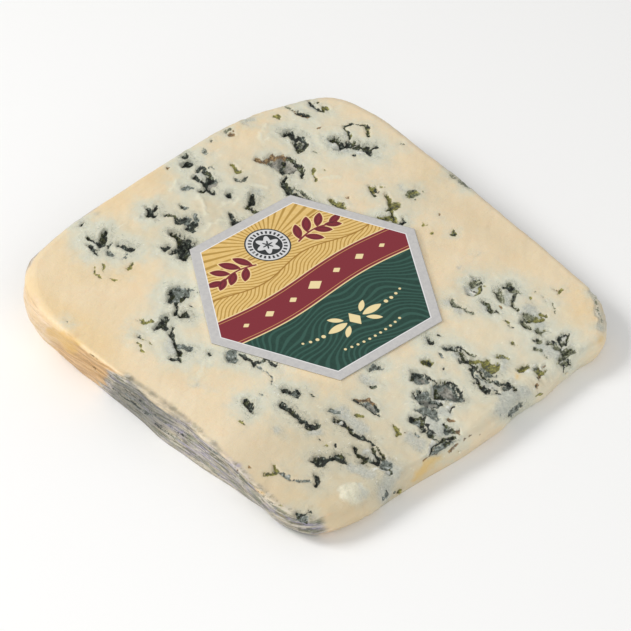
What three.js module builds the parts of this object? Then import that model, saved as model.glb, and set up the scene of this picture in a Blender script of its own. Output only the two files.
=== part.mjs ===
import * as THREE from 'three';

// A portion of veined blue cheese, lying on one cut face, with a six-sided paper label on the other.
// Millimetres. +X runs along the thin edge, +Y from the thin edge to the thick rim, +Z is up.
// Places on the upper cut face are given as (u, v): u along X, v up the slope, zero at the label's middle.

// Driving dimensions
const THIN_EDGE_V = -54;            // the thin edge, once the middle of the wheel
const RIM_V = 52.5;                 // the rim of the wheel
const THIN_EDGE_THICKNESS = 7;
const RIM_THICKNESS = 16;
const LABEL_CORNER_RADIUS = 30;
const LABEL_THICKNESS = 0.35;
const LABEL_LIFT = 0.3;             // clear space between the cheese and the label
const LABEL_TURN = -3.9;            // degrees from +X to the nearest corner of the label

// How finely the surface is divided
const GRID_CELLS = 54;              // across the upper face, an even number
const EDGE_STEPS = 2;               // round the upper edge
const SIDE_STEPS = 4;               // down the sides
const OUTLINE_DIVISIONS = 2000;     // for measuring along the outline

// The slope of the upper face
const FACE_ANGLE = Math.asin((RIM_THICKNESS - THIN_EDGE_THICKNESS) / (RIM_V - THIN_EDGE_V));
const LABEL_HEIGHT = THIN_EDGE_THICKNESS - THIN_EDGE_V * Math.sin(FACE_ANGLE);

// The widest outline of the slab, anticlockwise from the thin edge's left end.
// Each row: u, v, radius of the rounded upper edge, how far the foot of the side draws in.
const OUTLINE = [
  [-47.0, -51.8, 3.0, 3.2],
  [-33.0, -53.0, 3.0, 2.0],
  [-24.0, -52.8, 1.2, 0.6],
  [-13.0, -54.2, 1.2, 0.4],
  [-2.0, -55.0, 2.4, 1.4],
  [20.0, -53.5, 2.4, 1.6],
  [35.5, -54.4, 2.0, 1.6],
  [45.2, -45.6, 1.2, 1.8],
  [47.6, -34.0, 1.5, 2.4],
  [49.8, -12.0, 1.5, 3.0],
  [52.0, 14.0, 1.8, 3.4],
  [53.0, 33.5, 2.4, 5.0],
  [49.9, 44.2, 3.0, 6.0],
  [37.0, 50.7, 2.8, 5.2],
  [23.0, 53.1, 1.8, 4.5],
  [-8.0, 52.8, 1.4, 4.5],
  [-32.0, 51.5, 2.0, 5.4],
  [-43.6, 48.8, 3.4, 6.0],
  [-50.2, 41.3, 4.0, 6.2],
  [-51.6, 28.0, 1.6, 3.8],
  [-51.2, 10.0, 0.7, 2.4],
  [-50.3, -10.5, 0.7, 0.3],
  [-51.7, -28.0, 0.8, 1.7],
  [-53.0, -42.0, 1.4, 3.2],
  [-51.4, -49.6, 2.6, 4.0],
];

// The larger hollows of the blue veins, as ovals pressed into the upper face.
// Each row: u, v, half length, half width, turn in degrees from +X, depth.
const HOLLOWS = [
  [-26.0, 42.0, 5.0, 2.2, 30, 1.4],
  [-23.3, 37.5, 2.6, 2.2, -60, 1.1],
  [-11.5, 41.8, 3.4, 2.2, 25, 1.2],
  [-6.8, 34.5, 3.6, 2.6, -50, 1.0],
  [-13.0, 28.8, 4.8, 3.6, 60, 2.2],
  [6.2, 41.5, 5.4, 2.6, 80, 1.8],
  [9.3, 29.4, 2.8, 2.2, 30, 1.4],
  [23.0, 34.0, 4.8, 3.6, -75, 2.2],
  [18.6, 25.2, 4.8, 2.2, 75, 1.0],
  [32.0, 38.6, 3.8, 2.2, -75, 1.2],
  [40.2, 28.2, 6.4, 2.6, -58, 2.0],
  [-26.0, 17.6, 4.4, 3.2, 45, 1.8],
  [-34.4, 13.6, 3.2, 2.2, 10, 1.2],
  [-36.2, 6.4, 4.8, 2.2, 62, 1.3],
  [-29.0, -4.4, 2.8, 2.2, -45, 1.2],
  [29.8, 5.6, 5.0, 2.4, 55, 1.3],
  [23.4, 15.8, 3.2, 2.0, 88, 0.9],
  [-36.5, -16.6, 2.4, 2.0, 60, 0.9],
  [-31.0, -25.4, 5.4, 2.0, 90, 1.2],
  [-36.0, -38.8, 2.8, 2.4, -20, 1.2],
  [-25.2, -39.0, 7.4, 2.0, 92, 1.0],
  [-28.6, -45.6, 3.0, 2.6, -45, 1.6],
  [-17.2, -34.8, 3.4, 2.0, 85, 1.0],
  [-2.4, -41.4, 4.6, 3.4, 70, 2.2],
  [-6.4, -40.4, 3.6, 2.6, 60, 1.4],
  [-12.8, -46.0, 5.6, 2.6, 80, 1.4],
  [8.6, -39.6, 4.4, 2.0, 75, 1.5],
  [6.6, -47.0, 5.0, 2.6, 80, 1.3],
  [26.8, -24.2, 3.6, 2.4, 5, 1.4],
  [31.0, -30.4, 3.8, 2.4, 40, 1.4],
  [27.6, -39.2, 3.4, 2.4, -20, 1.3],
  [27.4, -48.6, 3.6, 2.6, 30, 1.3],
  [25.0, -53.0, 3.4, 2.2, 20, 1.2],
];

// Long low swells of the cut face. Each row: length of the wave, heading in degrees, height.
const SWELLS = [
  [71, 24, 0.22],
  [43, 118, 0.14],
  [29, 73, 0.08],
];

// Where the relief begins, as distances from the label's middle, and how sharply it levels at the edge
const HOLLOWS_FROM = 24;
const SWELLS_FROM = 30;
const SWELLS_FULL_AT = 39;
const EDGE_LEVELLING = 10;

const MATERIALS = {
  cheese: new THREE.MeshStandardMaterial({ color: 0xe6d3ab, roughness: 0.55, metalness: 0 }),
  label: new THREE.MeshStandardMaterial({ color: 0xc4a35a, roughness: 0.4, metalness: 0.1 }),
};

const radians = THREE.MathUtils.degToRad;

// A point on the slope of the upper face, lifted off it straight up
function facePoint(u, v, lift = 0) {
  return new THREE.Vector3(u, v * Math.cos(FACE_ANGLE), LABEL_HEIGHT + v * Math.sin(FACE_ANGLE) + lift);
}

// Stations round the outline, evenly spaced: place, direction inwards, edge radius and draw-in
function outlineStations(count) {
  const places = OUTLINE.map(([u, v]) => new THREE.Vector3(u, v, 0));
  const shapes = OUTLINE.map(([, , edge, drawIn]) => new THREE.Vector3(edge, drawIn, 0));
  const path = new THREE.CatmullRomCurve3(places, true);
  const profile = new THREE.CatmullRomCurve3(shapes, true, 'catmullrom', 0.5);
  path.arcLengthDivisions = OUTLINE_DIVISIONS;
  return Array.from({ length: count }, (_, index) => {
    const t = path.getUtoTmapping(index / count);
    const place = path.getPoint(t);
    const along = path.getTangent(t);
    const { x: edge, y: drawIn } = profile.getPoint(t);
    return { place, inward: new THREE.Vector3(-along.y, along.x, 0), edge, drawIn };
  });
}

function hollowDepth(u, v) {
  let depth = 0;
  for (const [centreU, centreV, halfLength, halfWidth, turn, deepest] of HOLLOWS) {
    const cos = Math.cos(radians(turn));
    const sin = Math.sin(radians(turn));
    const along = ((u - centreU) * cos + (v - centreV) * sin) / halfLength;
    const across = ((v - centreV) * cos - (u - centreU) * sin) / halfWidth;
    const reach = along * along + across * across;
    if (reach < 1) depth = Math.max(depth, deepest * (1 - reach * reach));
  }
  return depth;
}

function swellHeight(u, v) {
  let height = 0;
  for (const [length, heading, size] of SWELLS) {
    const along = u * Math.cos(radians(heading)) + v * Math.sin(radians(heading));
    height += size * Math.sin((2 * Math.PI * along) / length);
  }
  return height;
}

// Relief of the upper face: flat under the label, uneven outside it, level again at the edge.
// The share is how far out the point lies, from 0 at the label's middle to 1 at the edge.
function faceRelief(u, v, share) {
  const distance = Math.hypot(u, v);
  const swell = swellHeight(u, v) * THREE.MathUtils.smoothstep(distance, SWELLS_FROM, SWELLS_FULL_AT);
  const hollow = distance < HOLLOWS_FROM ? 0 : hollowDepth(u, v);
  return (swell - hollow) * (1 - Math.pow(share, EDGE_LEVELLING));
}

// The slab: a grid on the upper face, rings round the edge and down the sides, and a flat base
function cheeseGeometry() {
  const stationCount = GRID_CELLS * 4;
  const stations = outlineStations(stationCount);
  const points = [];
  const faces = [];
  const addPoint = (point) => points.push(point) - 1;

  // upper face: square rings of grid points, each ring a smaller copy of the outline
  const half = GRID_CELLS / 2;
  const grid = [[addPoint(facePoint(0, 0))]];
  for (let ring = 1; ring <= half; ring += 1) {
    const share = ring / half;
    const row = [];
    for (let index = 0; index < ring * 8; index += 1) {
      const station = stations[Math.round((index / (ring * 8)) * stationCount) % stationCount];
      const edge = station.place.clone().addScaledVector(station.inward, station.edge);
      const { x: u, y: v } = edge.multiplyScalar(share);
      row.push(addPoint(facePoint(u, v, faceRelief(u, v, share))));
    }
    grid.push(row);
  }
  for (let ring = 1; ring <= half; ring += 1) {
    for (let side = 0; side < 4; side += 1) {
      addGridSide(faces, grid[ring - 1], grid[ring], ring, side);
    }
  }

  // edge and sides
  let upper = grid[half];
  for (let step = 1; step <= EDGE_STEPS + SIDE_STEPS; step += 1) {
    const lower = stations.map((station) => addPoint(sidePoint(station, step)));
    for (let index = 0; index < stationCount; index += 1) {
      const next = (index + 1) % stationCount;
      faces.push([lower[index], lower[next], upper[next]], [lower[index], upper[next], upper[index]]);
    }
    upper = lower;
  }

  // base
  const middle = addPoint(new THREE.Vector3(0, 0, 0));
  upper.forEach((corner, index) => faces.push([middle, upper[(index + 1) % stationCount], corner]));

  const geometry = new THREE.BufferGeometry().setFromPoints(points);
  geometry.setIndex(faces.flat());
  geometry.computeVertexNormals();
  return geometry;
}

// One of the four sides between two square rings of grid points; the inner side has two points fewer
function addGridSide(faces, inner, outer, ring, side) {
  const outerSide = ring * 2;
  const innerSide = outerSide - 2;
  const outerAt = (step) => outer[(side * outerSide + step) % outer.length];
  const innerAt = (step) => inner[(side * innerSide + step) % inner.length];
  faces.push([outerAt(0), outerAt(1), innerAt(0)]);
  for (let step = 1; step < outerSide - 1; step += 1) {
    faces.push([outerAt(step), outerAt(step + 1), innerAt(step)]);
    faces.push([outerAt(step), innerAt(step), innerAt(step - 1)]);
  }
  faces.push([outerAt(outerSide - 1), outerAt(outerSide), innerAt(innerSide)]);
}

// A point of the rounded upper edge or, below that, of the side as it draws in to its foot
function sidePoint(station, step) {
  const { place, inward, edge, drawIn } = station;
  if (step <= EDGE_STEPS) {
    const angle = (step / EDGE_STEPS) * (Math.PI / 2);
    const at = place.clone().addScaledVector(inward, edge * (1 - Math.sin(angle)));
    return facePoint(at.x, at.y, -edge * (1 - Math.cos(angle)));
  }
  const down = (step - EDGE_STEPS) / SIDE_STEPS;
  const at = place.clone().addScaledVector(inward, drawIn * down * down);
  const point = facePoint(at.x, at.y);
  const shoulder = facePoint(place.x, place.y, -edge).z;
  point.z = shoulder * (1 - down);
  return point;
}

function makeCheese() {
  const cheese = new THREE.Mesh(cheeseGeometry(), MATERIALS.cheese);
  cheese.name = 'cheese_wedge';
  return cheese;
}

// A thin six-sided sheet, parallel to the upper face and just clear of it
function makeLabel() {
  const corners = Array.from({ length: 6 }, (_, index) => {
    const angle = radians(LABEL_TURN + index * 60);
    return new THREE.Vector2(Math.cos(angle), Math.sin(angle)).multiplyScalar(LABEL_CORNER_RADIUS);
  });
  const sheet = new THREE.ExtrudeGeometry(new THREE.Shape(corners), {
    depth: LABEL_THICKNESS,
    bevelEnabled: false,
  });
  const label = new THREE.Mesh(sheet, MATERIALS.label);
  label.name = 'label';
  label.position.copy(facePoint(0, 0, LABEL_LIFT));
  label.rotation.x = FACE_ANGLE;
  return label;
}

// The origin is on the base, under the middle of the slab's bounding box
function centreOnBase(group) {
  const box = new THREE.Box3().setFromObject(group);
  const middle = box.getCenter(new THREE.Vector3());
  group.position.set(-middle.x, -middle.y, -box.min.z);
  return group;
}

const portion = new THREE.Group();
portion.add(makeCheese(), makeLabel());
centreOnBase(portion);

export default portion;
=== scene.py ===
"""A portion of veined blue cheese with a six-sided label on its upper cut face.

Lengths are in millimetres and are turned into metres where a mesh, a lamp or the camera is made.
Places on the upper face are (u, v): u along +X, v up the slope, zero at the label's middle, and w is
the height off the face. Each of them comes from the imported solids.
"""

import math

import bmesh
import bpy
import numpy as np
from mathutils import Matrix, Vector
from mathutils.bvhtree import BVHTree


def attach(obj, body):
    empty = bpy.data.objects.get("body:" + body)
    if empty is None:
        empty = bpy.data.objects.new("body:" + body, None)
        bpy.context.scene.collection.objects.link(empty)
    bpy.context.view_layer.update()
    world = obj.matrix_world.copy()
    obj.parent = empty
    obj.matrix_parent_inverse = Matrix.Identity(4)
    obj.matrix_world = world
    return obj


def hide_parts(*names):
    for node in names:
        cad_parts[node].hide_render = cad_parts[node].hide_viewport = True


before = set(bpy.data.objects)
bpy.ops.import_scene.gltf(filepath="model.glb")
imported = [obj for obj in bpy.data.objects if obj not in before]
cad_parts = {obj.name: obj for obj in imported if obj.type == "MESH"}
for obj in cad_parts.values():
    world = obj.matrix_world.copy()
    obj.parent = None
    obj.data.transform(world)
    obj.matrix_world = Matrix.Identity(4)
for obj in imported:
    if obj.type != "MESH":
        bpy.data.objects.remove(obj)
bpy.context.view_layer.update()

MM = 0.001

# How finely the cheese is divided
FACE_CELLS = 280                # across the upper face
EDGE_STEPS = 3                  # round the upper edge
SIDE_LEVELS = 22                # down the sides

# How the photograph was taken: angles in degrees, lengths in millimetres
CAMERA_TURN = -44.48            # round from looking along +Y
CAMERA_HEIGHT_ANGLE = 41.09
CAMERA_ROLL = 0.42
CAMERA_AIM = (2.37, 3.18, 0.0)
CAMERA_DISTANCE = 761.7
CAMERA_SENSOR = 36
CAMERA_LENS = 191.55

# The studio: lamps have a name, place, width, power and colour
LAMPS = [
    ("key", (-520, 520, 640), 380, 5.6, (1.0, 0.99, 0.98)),
    ("fill", (-300, -700, 560), 700, 2.4, (1.0, 1.0, 1.0)),
]
SKY_STRENGTH = 0.5
FLOOR_REACH = 3000

# The colour fields of the veins and crumbs, each with how strongly it makes the paste round it paler
BLACK, SLATE, OLIVE, BROWN, MIST = "black", "slate", "olive", "brown", "mist"
# GLINT is painted highlight: thin white lines and spots where light catches raised paste by the veins.
CHALK, AMBER, GLINT, ASH = "chalk", "amber", "glint", "ash"
HALO_OF = {
    BLACK: 1.0, SLATE: 0.9, OLIVE: 0.45, BROWN: 0.35, MIST: 0.5,
    CHALK: 0.2, AMBER: 0.0, GLINT: 0.2, ASH: 0.5,
}
INKS = tuple(HALO_OF)

# Where the sides stand out from the solid's, from the photograph: x, y, reach, how far out
SIDE_SWELLS = [
    (16.2, 53.7, 9, -0.6),
    (-47.8, 46.1, 7, -0.5),
    (-48.8, 35.6, 4, 0.4),
    (-48.5, 21.3, 4, -0.35),
    (-49.7, -2.3, 5, 0.5),
    (-50.1, -24.6, 6, -0.45),
    (-50.2, -33.7, 4, -0.6),
    (-49.4, -48.2, 5, -1.1),
    (-34.7, -51.4, 6, 0.6),
    (-15.3, -52.6, 8, -0.75),
    (3.9, -52.7, 3, 0.4),
    (17.8, -51.4, 6, 1.1),
    (31.0, -52.8, 5, -1.1),
    (38.8, -51.7, 3, 0.5),
    (43.7, -46.3, 3, 0.4),
    (48.8, -20.1, 8, -0.5),
    (50.8, 4.4, 5, 0.6),
    (52.0, 38.8, 7, 0.4),
]

# Rounded bulges and dips of the upper face, from the photograph: u, v, reach, height
BULGES = [
    (-38.0, -50.0, 3.6, 0.7),
    (-43.5, -46.5, 2.6, 0.3),
    (12.6, -45.0, 2.6, 0.4),
    (-20.5, -42.0, 3.0, 0.3),
    (31.0, -35.0, 2.0, 0.35),
    (-1.0, 36.0, 3.4, 0.4),
    (24.0, 32.6, 3.0, -0.5),
    (28.0, 44.0, 3.2, 0.35),
    (40.0, 19.0, 2.6, 0.3),
    (22.4, -22.6, 1.8, 0.3),
    (-41.5, 12.0, 3.0, 0.3),
    (-22.0, 29.0, 2.4, 0.3),
]

# Loose crumbs at the front edge: the place (u, v) that the photograph shows them at, radius, colour field
CRUMBS = [
    (-30.3, -56.2, 0.5, OLIVE),
    (-31.3, -55.6, 0.28, SLATE),
    (-12.5, -56.9, 0.34, CHALK),
    (7.4, -56.4, 0.3, SLATE),
    (22.6, -56.3, 0.36, CHALK),
    (39.2, -38.9, 0.3, BROWN),
]

# How the veins mark the paste
WARP = ((3.2, 0.5), (1.2, 0.42), (0.6, 0.2))    # sizes and reaches of the noise that makes veins ragged
POCKET_WALL = 0.3               # half the width of a pocket's wall
INK_BAND = 0.8                  # distance over which a colour field runs from 0.5 to 0 or 1
HALO_REACH = 3.8                # how far the paste is paler round a vein
BLOOM_REACH = 1.1               # how far the blue-grey bloom spreads round a vein
VEINED_REACH = 6.0              # how far a vein counts towards how veined its neighbourhood is
VEINED_FULL = 4.5               # how many veins make a place fully veined
VEIN_SLANT = (0.72, 0.66)       # how far the veins lean in u and v for each millimetre down
FLAKE_WALL = 0.6                # half the width of a raised flake's slope
LIP_PLACE = 0.5                 # how far outside a pocket its raised lip stands
LIP_WIDTH = 0.34
LIP_HEIGHT = 0.1                # as a share of the pocket's depth

# The relief: how far each kind rises above and falls below the plain shape
SWELL_HEIGHT = 0.16             # broad swells of the upper face
RIPPLE_HEIGHT = 0.1             # narrower ones
SMEAR_HEIGHT = 0.06             # the knife's smears
SMEAR_TURN = 38                 # their direction in degrees
LUMP_HEIGHT = 0.06
TORN_LUMP_HEIGHT = 0.17         # more lumps where the veins tear the paste
STRATA_HEIGHT = 0.34            # layers of the rind
DENT_HEIGHT = 0.16
TORN_SIDE_HEIGHT = 0.34         # coarse tearing of the sides that have no rind
CRUMBLE_HEIGHT = 0.26           # fine tearing of them
SIDE_POCKET_SHARE = 0.6         # depth of the pockets in the sides, as a share of the upper face's
# The left rind's colour over the edge is partly painted shade, dulling the rounded edge where it faces the
# key lamp.
BRIM_SHARE = 0.55               # how strongly the left rind's mould spreads over the edge

# The label's sheet and printed design. Places are (x, y) from its middle, x towards its rightmost corner.
LABEL_CELLS = 140               # from the label's middle to its rim
LABEL_WAVE = 0.06
PRINT_BLUR = 0.05               # half the width of a printed shape's soft edge
BORDER_WIDTH = 2.3
RIBBON_HALF_WIDTH = 4.2
HILL_PITCH = 0.95
FURROW_PITCH = 1.3
SEAL_PLACE = (0.0, 16.4)
SEAL_RADIUS = 5.0
SEAL_TICKS = 26
SEAL_RAYS = 44
# x, y, direction in degrees, length, width; each leaf also has a mirror image on the left
SPRIG_LEAVES = [
    (7.0, 13.4, 62, 5.0, 2.1),
    (8.6, 13.6, -46, 4.6, 2.0),
    (9.8, 14.2, 52, 5.2, 2.2),
    (11.6, 14.2, -40, 4.6, 2.0),
    (12.8, 14.2, 42, 4.8, 2.0),
    (14.6, 13.8, -34, 4.2, 1.8),
    (15.6, 13.2, 14, 4.4, 1.9),
]
GREEN_LEAVES = [
    (2.2, -13.6, 0, 5.6, 1.9),
    (2.4, -12.6, 40, 3.8, 1.3),
    (2.4, -14.6, -40, 3.8, 1.3),
]
# x, y, radius
GREEN_DOTS = [
    (side * (9.2 + 1.7 * k), -13.6 + 0.12 * k * k, 0.5 - 0.06 * k) for k in range(4) for side in (-1, 1)
]
GREEN_DOTS += [(1.6 * k, -20.4 + 0.035 * k * k, 0.34) for k in range(-5, 6)]
# x, size
RIBBON_DIAMONDS = [(-20.5, 0.6), (-14.0, 0.9), (-7.0, 0.75), (0.0, 1.35)]
RIBBON_DIAMONDS += [(-x, size) for x, size in RIBBON_DIAMONDS[:3]]

# The veins, from the photograph. Each row: colour, depth, width, then its points (u, v).
# A point can have a third number, the width there.
REAR_LEFT_VEINS = [
    (BLACK, 1.3, 2.2, (-26.3, 42.1), (-26.3, 42.5)),
    (BLACK, 1.0, 1.1, (-25.4, 42.3), (-22.8, 44.7)),
    (BLACK, 0.9, 1.1, (-26.7, 43.4), (-27.2, 45.3)),
    (BLACK, 0.8, 0.8, (-28.9, 43.6), (-28.9, 42.0)),
    (BLACK, 0.8, 1.1, (-29.3, 41.0)),
    (BLACK, 0.7, 0.8, (-28.0, 41.2)),
    (BLACK, 0.5, 0.6, (-25.8, 40.4)),
    (BLACK, 0.5, 0.6, (-24.7, 40.4)),
    (MIST, -0.1, 1.2, (-28.4, 42.6), (-27.2, 43.9)),
    (SLATE, 0.5, 1.2, (-26.6, 39.4), (-26.6, 38.0)),
    (CHALK, -0.1, 2.2, (-24.9, 38.2)),
    (BLACK, 0.9, 1.3, (-23.4, 39.0, 1.0), (-23.0, 37.2), (-22.3, 36.0)),
    (SLATE, 0.2, 0.4, (-26.1, 35.0), (-23.9, 35.5)),
    (OLIVE, 0.3, 0.7, (-27.1, 31.7), (-24.6, 32.7)),
    (OLIVE, 0.1, 0.5, (-31.6, 34.7), (-30.5, 36.9)),
    (OLIVE, 0.1, 0.5, (-32.7, 37.2), (-33.3, 33.6)),
    (OLIVE, 0.1, 0.5, (-32.3, 32.3), (-32.1, 30.6)),
    (SLATE, 0.3, 0.5, (-48.5, 28.1)),
    (BLACK, 0.6, 1.0, (-25.7, 49.6), (-25.3, 49.6)),
    (MIST, 0.0, 1.1, (-25.5, 50.4), (-24.6, 51.6)),
]
LEFT_VEINS = [
    (SLATE, 1.0, 2.2, (-27.4, 18.0, 1.6), (-24.2, 18.2, 3.6), (-22.4, 18.4, 2.0)),
    (SLATE, 1.0, 1.6, (-24.2, 20.4), (-22.4, 19.4)),
    (BLACK, 1.3, 1.1, (-27.4, 18.4), (-25.4, 19.4), (-24.1, 20.8)),
    (BLACK, 1.2, 1.0, (-26.4, 16.4), (-24.6, 17.0), (-23.2, 17.6)),
    (BLACK, 0.8, 0.8, (-27.0, 15.7), (-29.2, 14.5)),
    (SLATE, 0.4, 0.6, (-21.2, 18.4), (-21.2, 15.6)),
    (BLACK, 0.9, 1.5, (-28.9, 13.2, 0.8), (-27.7, 12.6), (-27.5, 11.8, 0.8)),
    (BLACK, 0.4, 0.5, (-25.6, 12.4)),
    (BLACK, 0.4, 0.5, (-24.2, 13.8)),
    (BLACK, 0.4, 0.4, (-26.1, 10.0)),
    (BLACK, 1.2, 1.5, (-35.7, 14.0, 0.9), (-34.6, 13.8), (-33.6, 13.6, 1.8), (-31.2, 14.5, 0.9)),
    (BLACK, 0.9, 1.0, (-33.7, 13.4), (-33.9, 12.2, 0.6)),
    (BLACK, 0.8, 0.8, (-33.0, 11.5, 0.6), (-34.9, 10.2), (-35.1, 8.5), (-36.0, 6.7, 1.2)),
    (BLACK, 1.0, 1.2, (-36.0, 6.7), (-36.7, 5.0), (-37.2, 4.2, 0.8)),
    (SLATE, 0.5, 1.6, (-35.2, 6.0), (-34.8, 4.2)),
    (BLACK, 0.7, 0.9, (-39.2, 4.6), (-38.2, 3.2)),
    (MIST, 0.0, 2.4, (-37.6, 6.6), (-36.4, 8.4)),
    (OLIVE, 0.3, 0.7, (-37.0, 18.5, 0.3), (-36.0, 16.7), (-34.5, 16.2)),
    (BLACK, 0.4, 0.7, (-40.2, 14.7), (-40.2, 14.2)),
    (OLIVE, 0.2, 0.5, (-40.2, 14.0), (-39.6, 10.8, 0.3)),
    (OLIVE, 0.2, 0.5, (-42.2, 13.5), (-42.6, 10.2)),
    (BLACK, 0.7, 0.9, (-32.8, 0.2), (-32.4, 0.2)),
    (CHALK, 0.0, 1.6, (-33.2, -1.5), (-32.8, -1.5)),
    (SLATE, 0.7, 2.4, (-29.4, -4.2), (-28.4, -3.4)),
    (BLACK, 0.8, 0.8, (-27.4, -5.0), (-26.5, -7.5, 1.1), (-27.0, -9.0)),
    (BLACK, 0.7, 0.8, (-26.7, -8.6, 1.2), (-25.0, -9.5), (-24.2, -11.0), (-24.0, -12.3, 0.5)),
    (SLATE, 0.3, 0.5, (-26.8, -9.8), (-26.7, -14.0), (-28.0, -15.5)),
    (BLACK, 1.0, 1.4, (-36.1, -15.4), (-36.2, -16.6), (-37.4, -18.5, 0.5)),
    (CHALK, 0.0, 3.4, (-36.0, -16.0)),
    (SLATE, 0.2, 0.6, (-32.0, -16.0)),
    (BLACK, 1.0, 1.3, (-28.2, -18.5), (-26.5, -19.5)),
    (SLATE, 0.7, 1.9, (-26.5, -20.6), (-26.5, -21.0)),
    (BLACK, 0.7, 0.6, (-27.4, -20.0), (-27.2, -21.8), (-25.8, -21.8), (-25.5, -20.4)),
    (OLIVE, 0.2, 0.7, (-40.9, -19.0), (-40.9, -19.9)),
    (MIST, 0.2, 0.8, (-40.7, -5.2)),
    (CHALK, 0.1, 0.3, (-34.0, 0.0), (-39.7, -4.0)),
]
FRONT_LEFT_VEINS = [
    (BLACK, 1.0, 1.3, (-31.3, -21.3), (-31.1, -25.0), (-30.6, -29.7)),
    (BLACK, 0.8, 0.8, (-31.8, -30.2), (-29.0, -31.0)),
    (BLACK, 0.4, 0.6, (-24.2, -23.8)),
    (MIST, 0.1, 1.6, (-37.0, -26.5)),
    (OLIVE, 0.5, 0.8, (-47.9, -33.7), (-45.7, -34.9), (-45.0, -35.1), (-44.2, -32.8)),
    (SLATE, 0.4, 0.5, (-45.0, -35.1), (-44.9, -36.4), (-44.5, -38.5), (-43.6, -40.0), (-42.5, -41.5)),
    (BLACK, 0.8, 0.9, (-42.6, -43.3), (-40.0, -40.9)),
    (BLACK, 1.1, 2.4, (-36.6, -38.2), (-36.3, -38.8)),
    (BLACK, 1.0, 1.1, (-36.0, -39.4), (-34.6, -39.8), (-33.4, -40.0)),
    (BLACK, 1.0, 1.5, (-33.0, -40.4), (-32.4, -41.3, 2.0), (-32.6, -43.0, 0.8)),
    (MIST, 0.1, 1.6, (-32.4, -45.4)),
    (BLACK, 0.4, 0.5, (-31.2, -37.8)),
    (BLACK, 0.4, 0.4, (-31.8, -34.2)),
    (OLIVE, 0.2, 0.6, (-32.7, -35.9)),
    (BLACK, 1.0, 1.6, (-25.3, -32.8), (-25.3, -34.6, 1.2)),
    (BLACK, 0.9, 1.0, (-25.3, -34.6), (-25.3, -36.4), (-24.9, -39.5, 1.3), (-24.9, -42.0)),
    (BLACK, 0.8, 0.45, (-25.3, -42.8), (-26.3, -44.4), (-26.9, -46.4), (-26.3, -47.8)),
    (BLACK, 0.8, 0.5, (-24.8, -42.0), (-25.2, -45.4), (-26.0, -47.6)),
    (GLINT, -0.1, 0.4, (-26.0, -33.0), (-24.8, -33.2)),
    (SLATE, 0.4, 1.0, (-24.2, -29.4), (-23.8, -31.0)),
    (SLATE, 0.4, 2.2, (-27.8, -48.8), (-26.6, -49.2)),
    (BLACK, 0.8, 0.9, (-28.0, -50.4), (-27.4, -50.3)),
    (GLINT, -0.1, 0.35, (-30.4, -47.6), (-28.3, -50.2)),
    (MIST, 0.0, 2.6, (-23.2, -31.0), (-23.2, -38.6)),
    (MIST, 0.0, 2.4, (-32.8, -44.4), (-31.6, -48.4)),
    (MIST, 0.1, 3.0, (-26.4, -51.0), (-30.0, -52.4), (-34.4, -55.0)),
    (MIST, 0.0, 1.6, (-32.0, -31.4), (-30.4, -32.4)),
    (BLACK, 1.1, 1.2, (-29.0, -41.0, 0.7), (-29.5, -43.6), (-29.0, -45.1), (-28.5, -47.2), (-27.2, -46.9)),
    (BLACK, 1.1, 1.4, (-29.9, -45.4)),
    (MIST, -0.1, 1.8, (-27.5, -43.6), (-27.3, -45.6)),
    (MIST, -0.1, 2.0, (-27.4, -48.7), (-26.0, -48.7)),
    (BLACK, 0.6, 0.8, (-27.6, -50.5)),
    (SLATE, 0.3, 1.2, (-31.6, -52.6)),
    (SLATE, 0.4, 0.6, (-35.0, -55.4), (-32.9, -54.6)),
    (MIST, 0.0, 2.4, (-32.0, -53.0)),
    (SLATE, 0.5, 2.2, (-51.4, -48.6), (-50.7, -48.3)),
    (BLACK, 0.6, 0.7, (-52.0, -47.6), (-50.5, -46.7), (-49.6, -47.4)),
    (BLACK, 0.5, 0.7, (-51.7, -49.6), (-50.4, -49.6)),
    (BLACK, 0.4, 0.7, (-48.4, -47.2)),
    (BROWN, 0.2, 0.5, (-23.1, -42.1)),
    (BROWN, 0.2, 0.5, (-22.0, -43.0)),
    (CHALK, 0.0, 4.6, (-38.8, -49.4), (-37.4, -50.6)),
    (CHALK, -0.25, 0.4, (-40.4, -50.6), (-39.4, -48.6), (-38.0, -47.4)),
    (CHALK, -0.25, 0.35, (-38.4, -52.0), (-37.6, -50.2), (-36.2, -48.8)),
    (CHALK, -0.2, 0.3, (-39.6, -51.4), (-38.2, -49.0), (-37.0, -47.8)),
    (MIST, 0.1, 0.4, (-36.4, -51.4), (-35.6, -49.6)),
    (MIST, 0.1, 1.2, (-38.5, -52.4), (-36.4, -51.8)),
    (BROWN, 0.2, 0.5, (-51.2, -29.0)),
    (BROWN, 0.2, 0.5, (-51.7, -32.0)),
    (BROWN, 0.2, 0.4, (-49.0, -30.3)),
]
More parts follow.
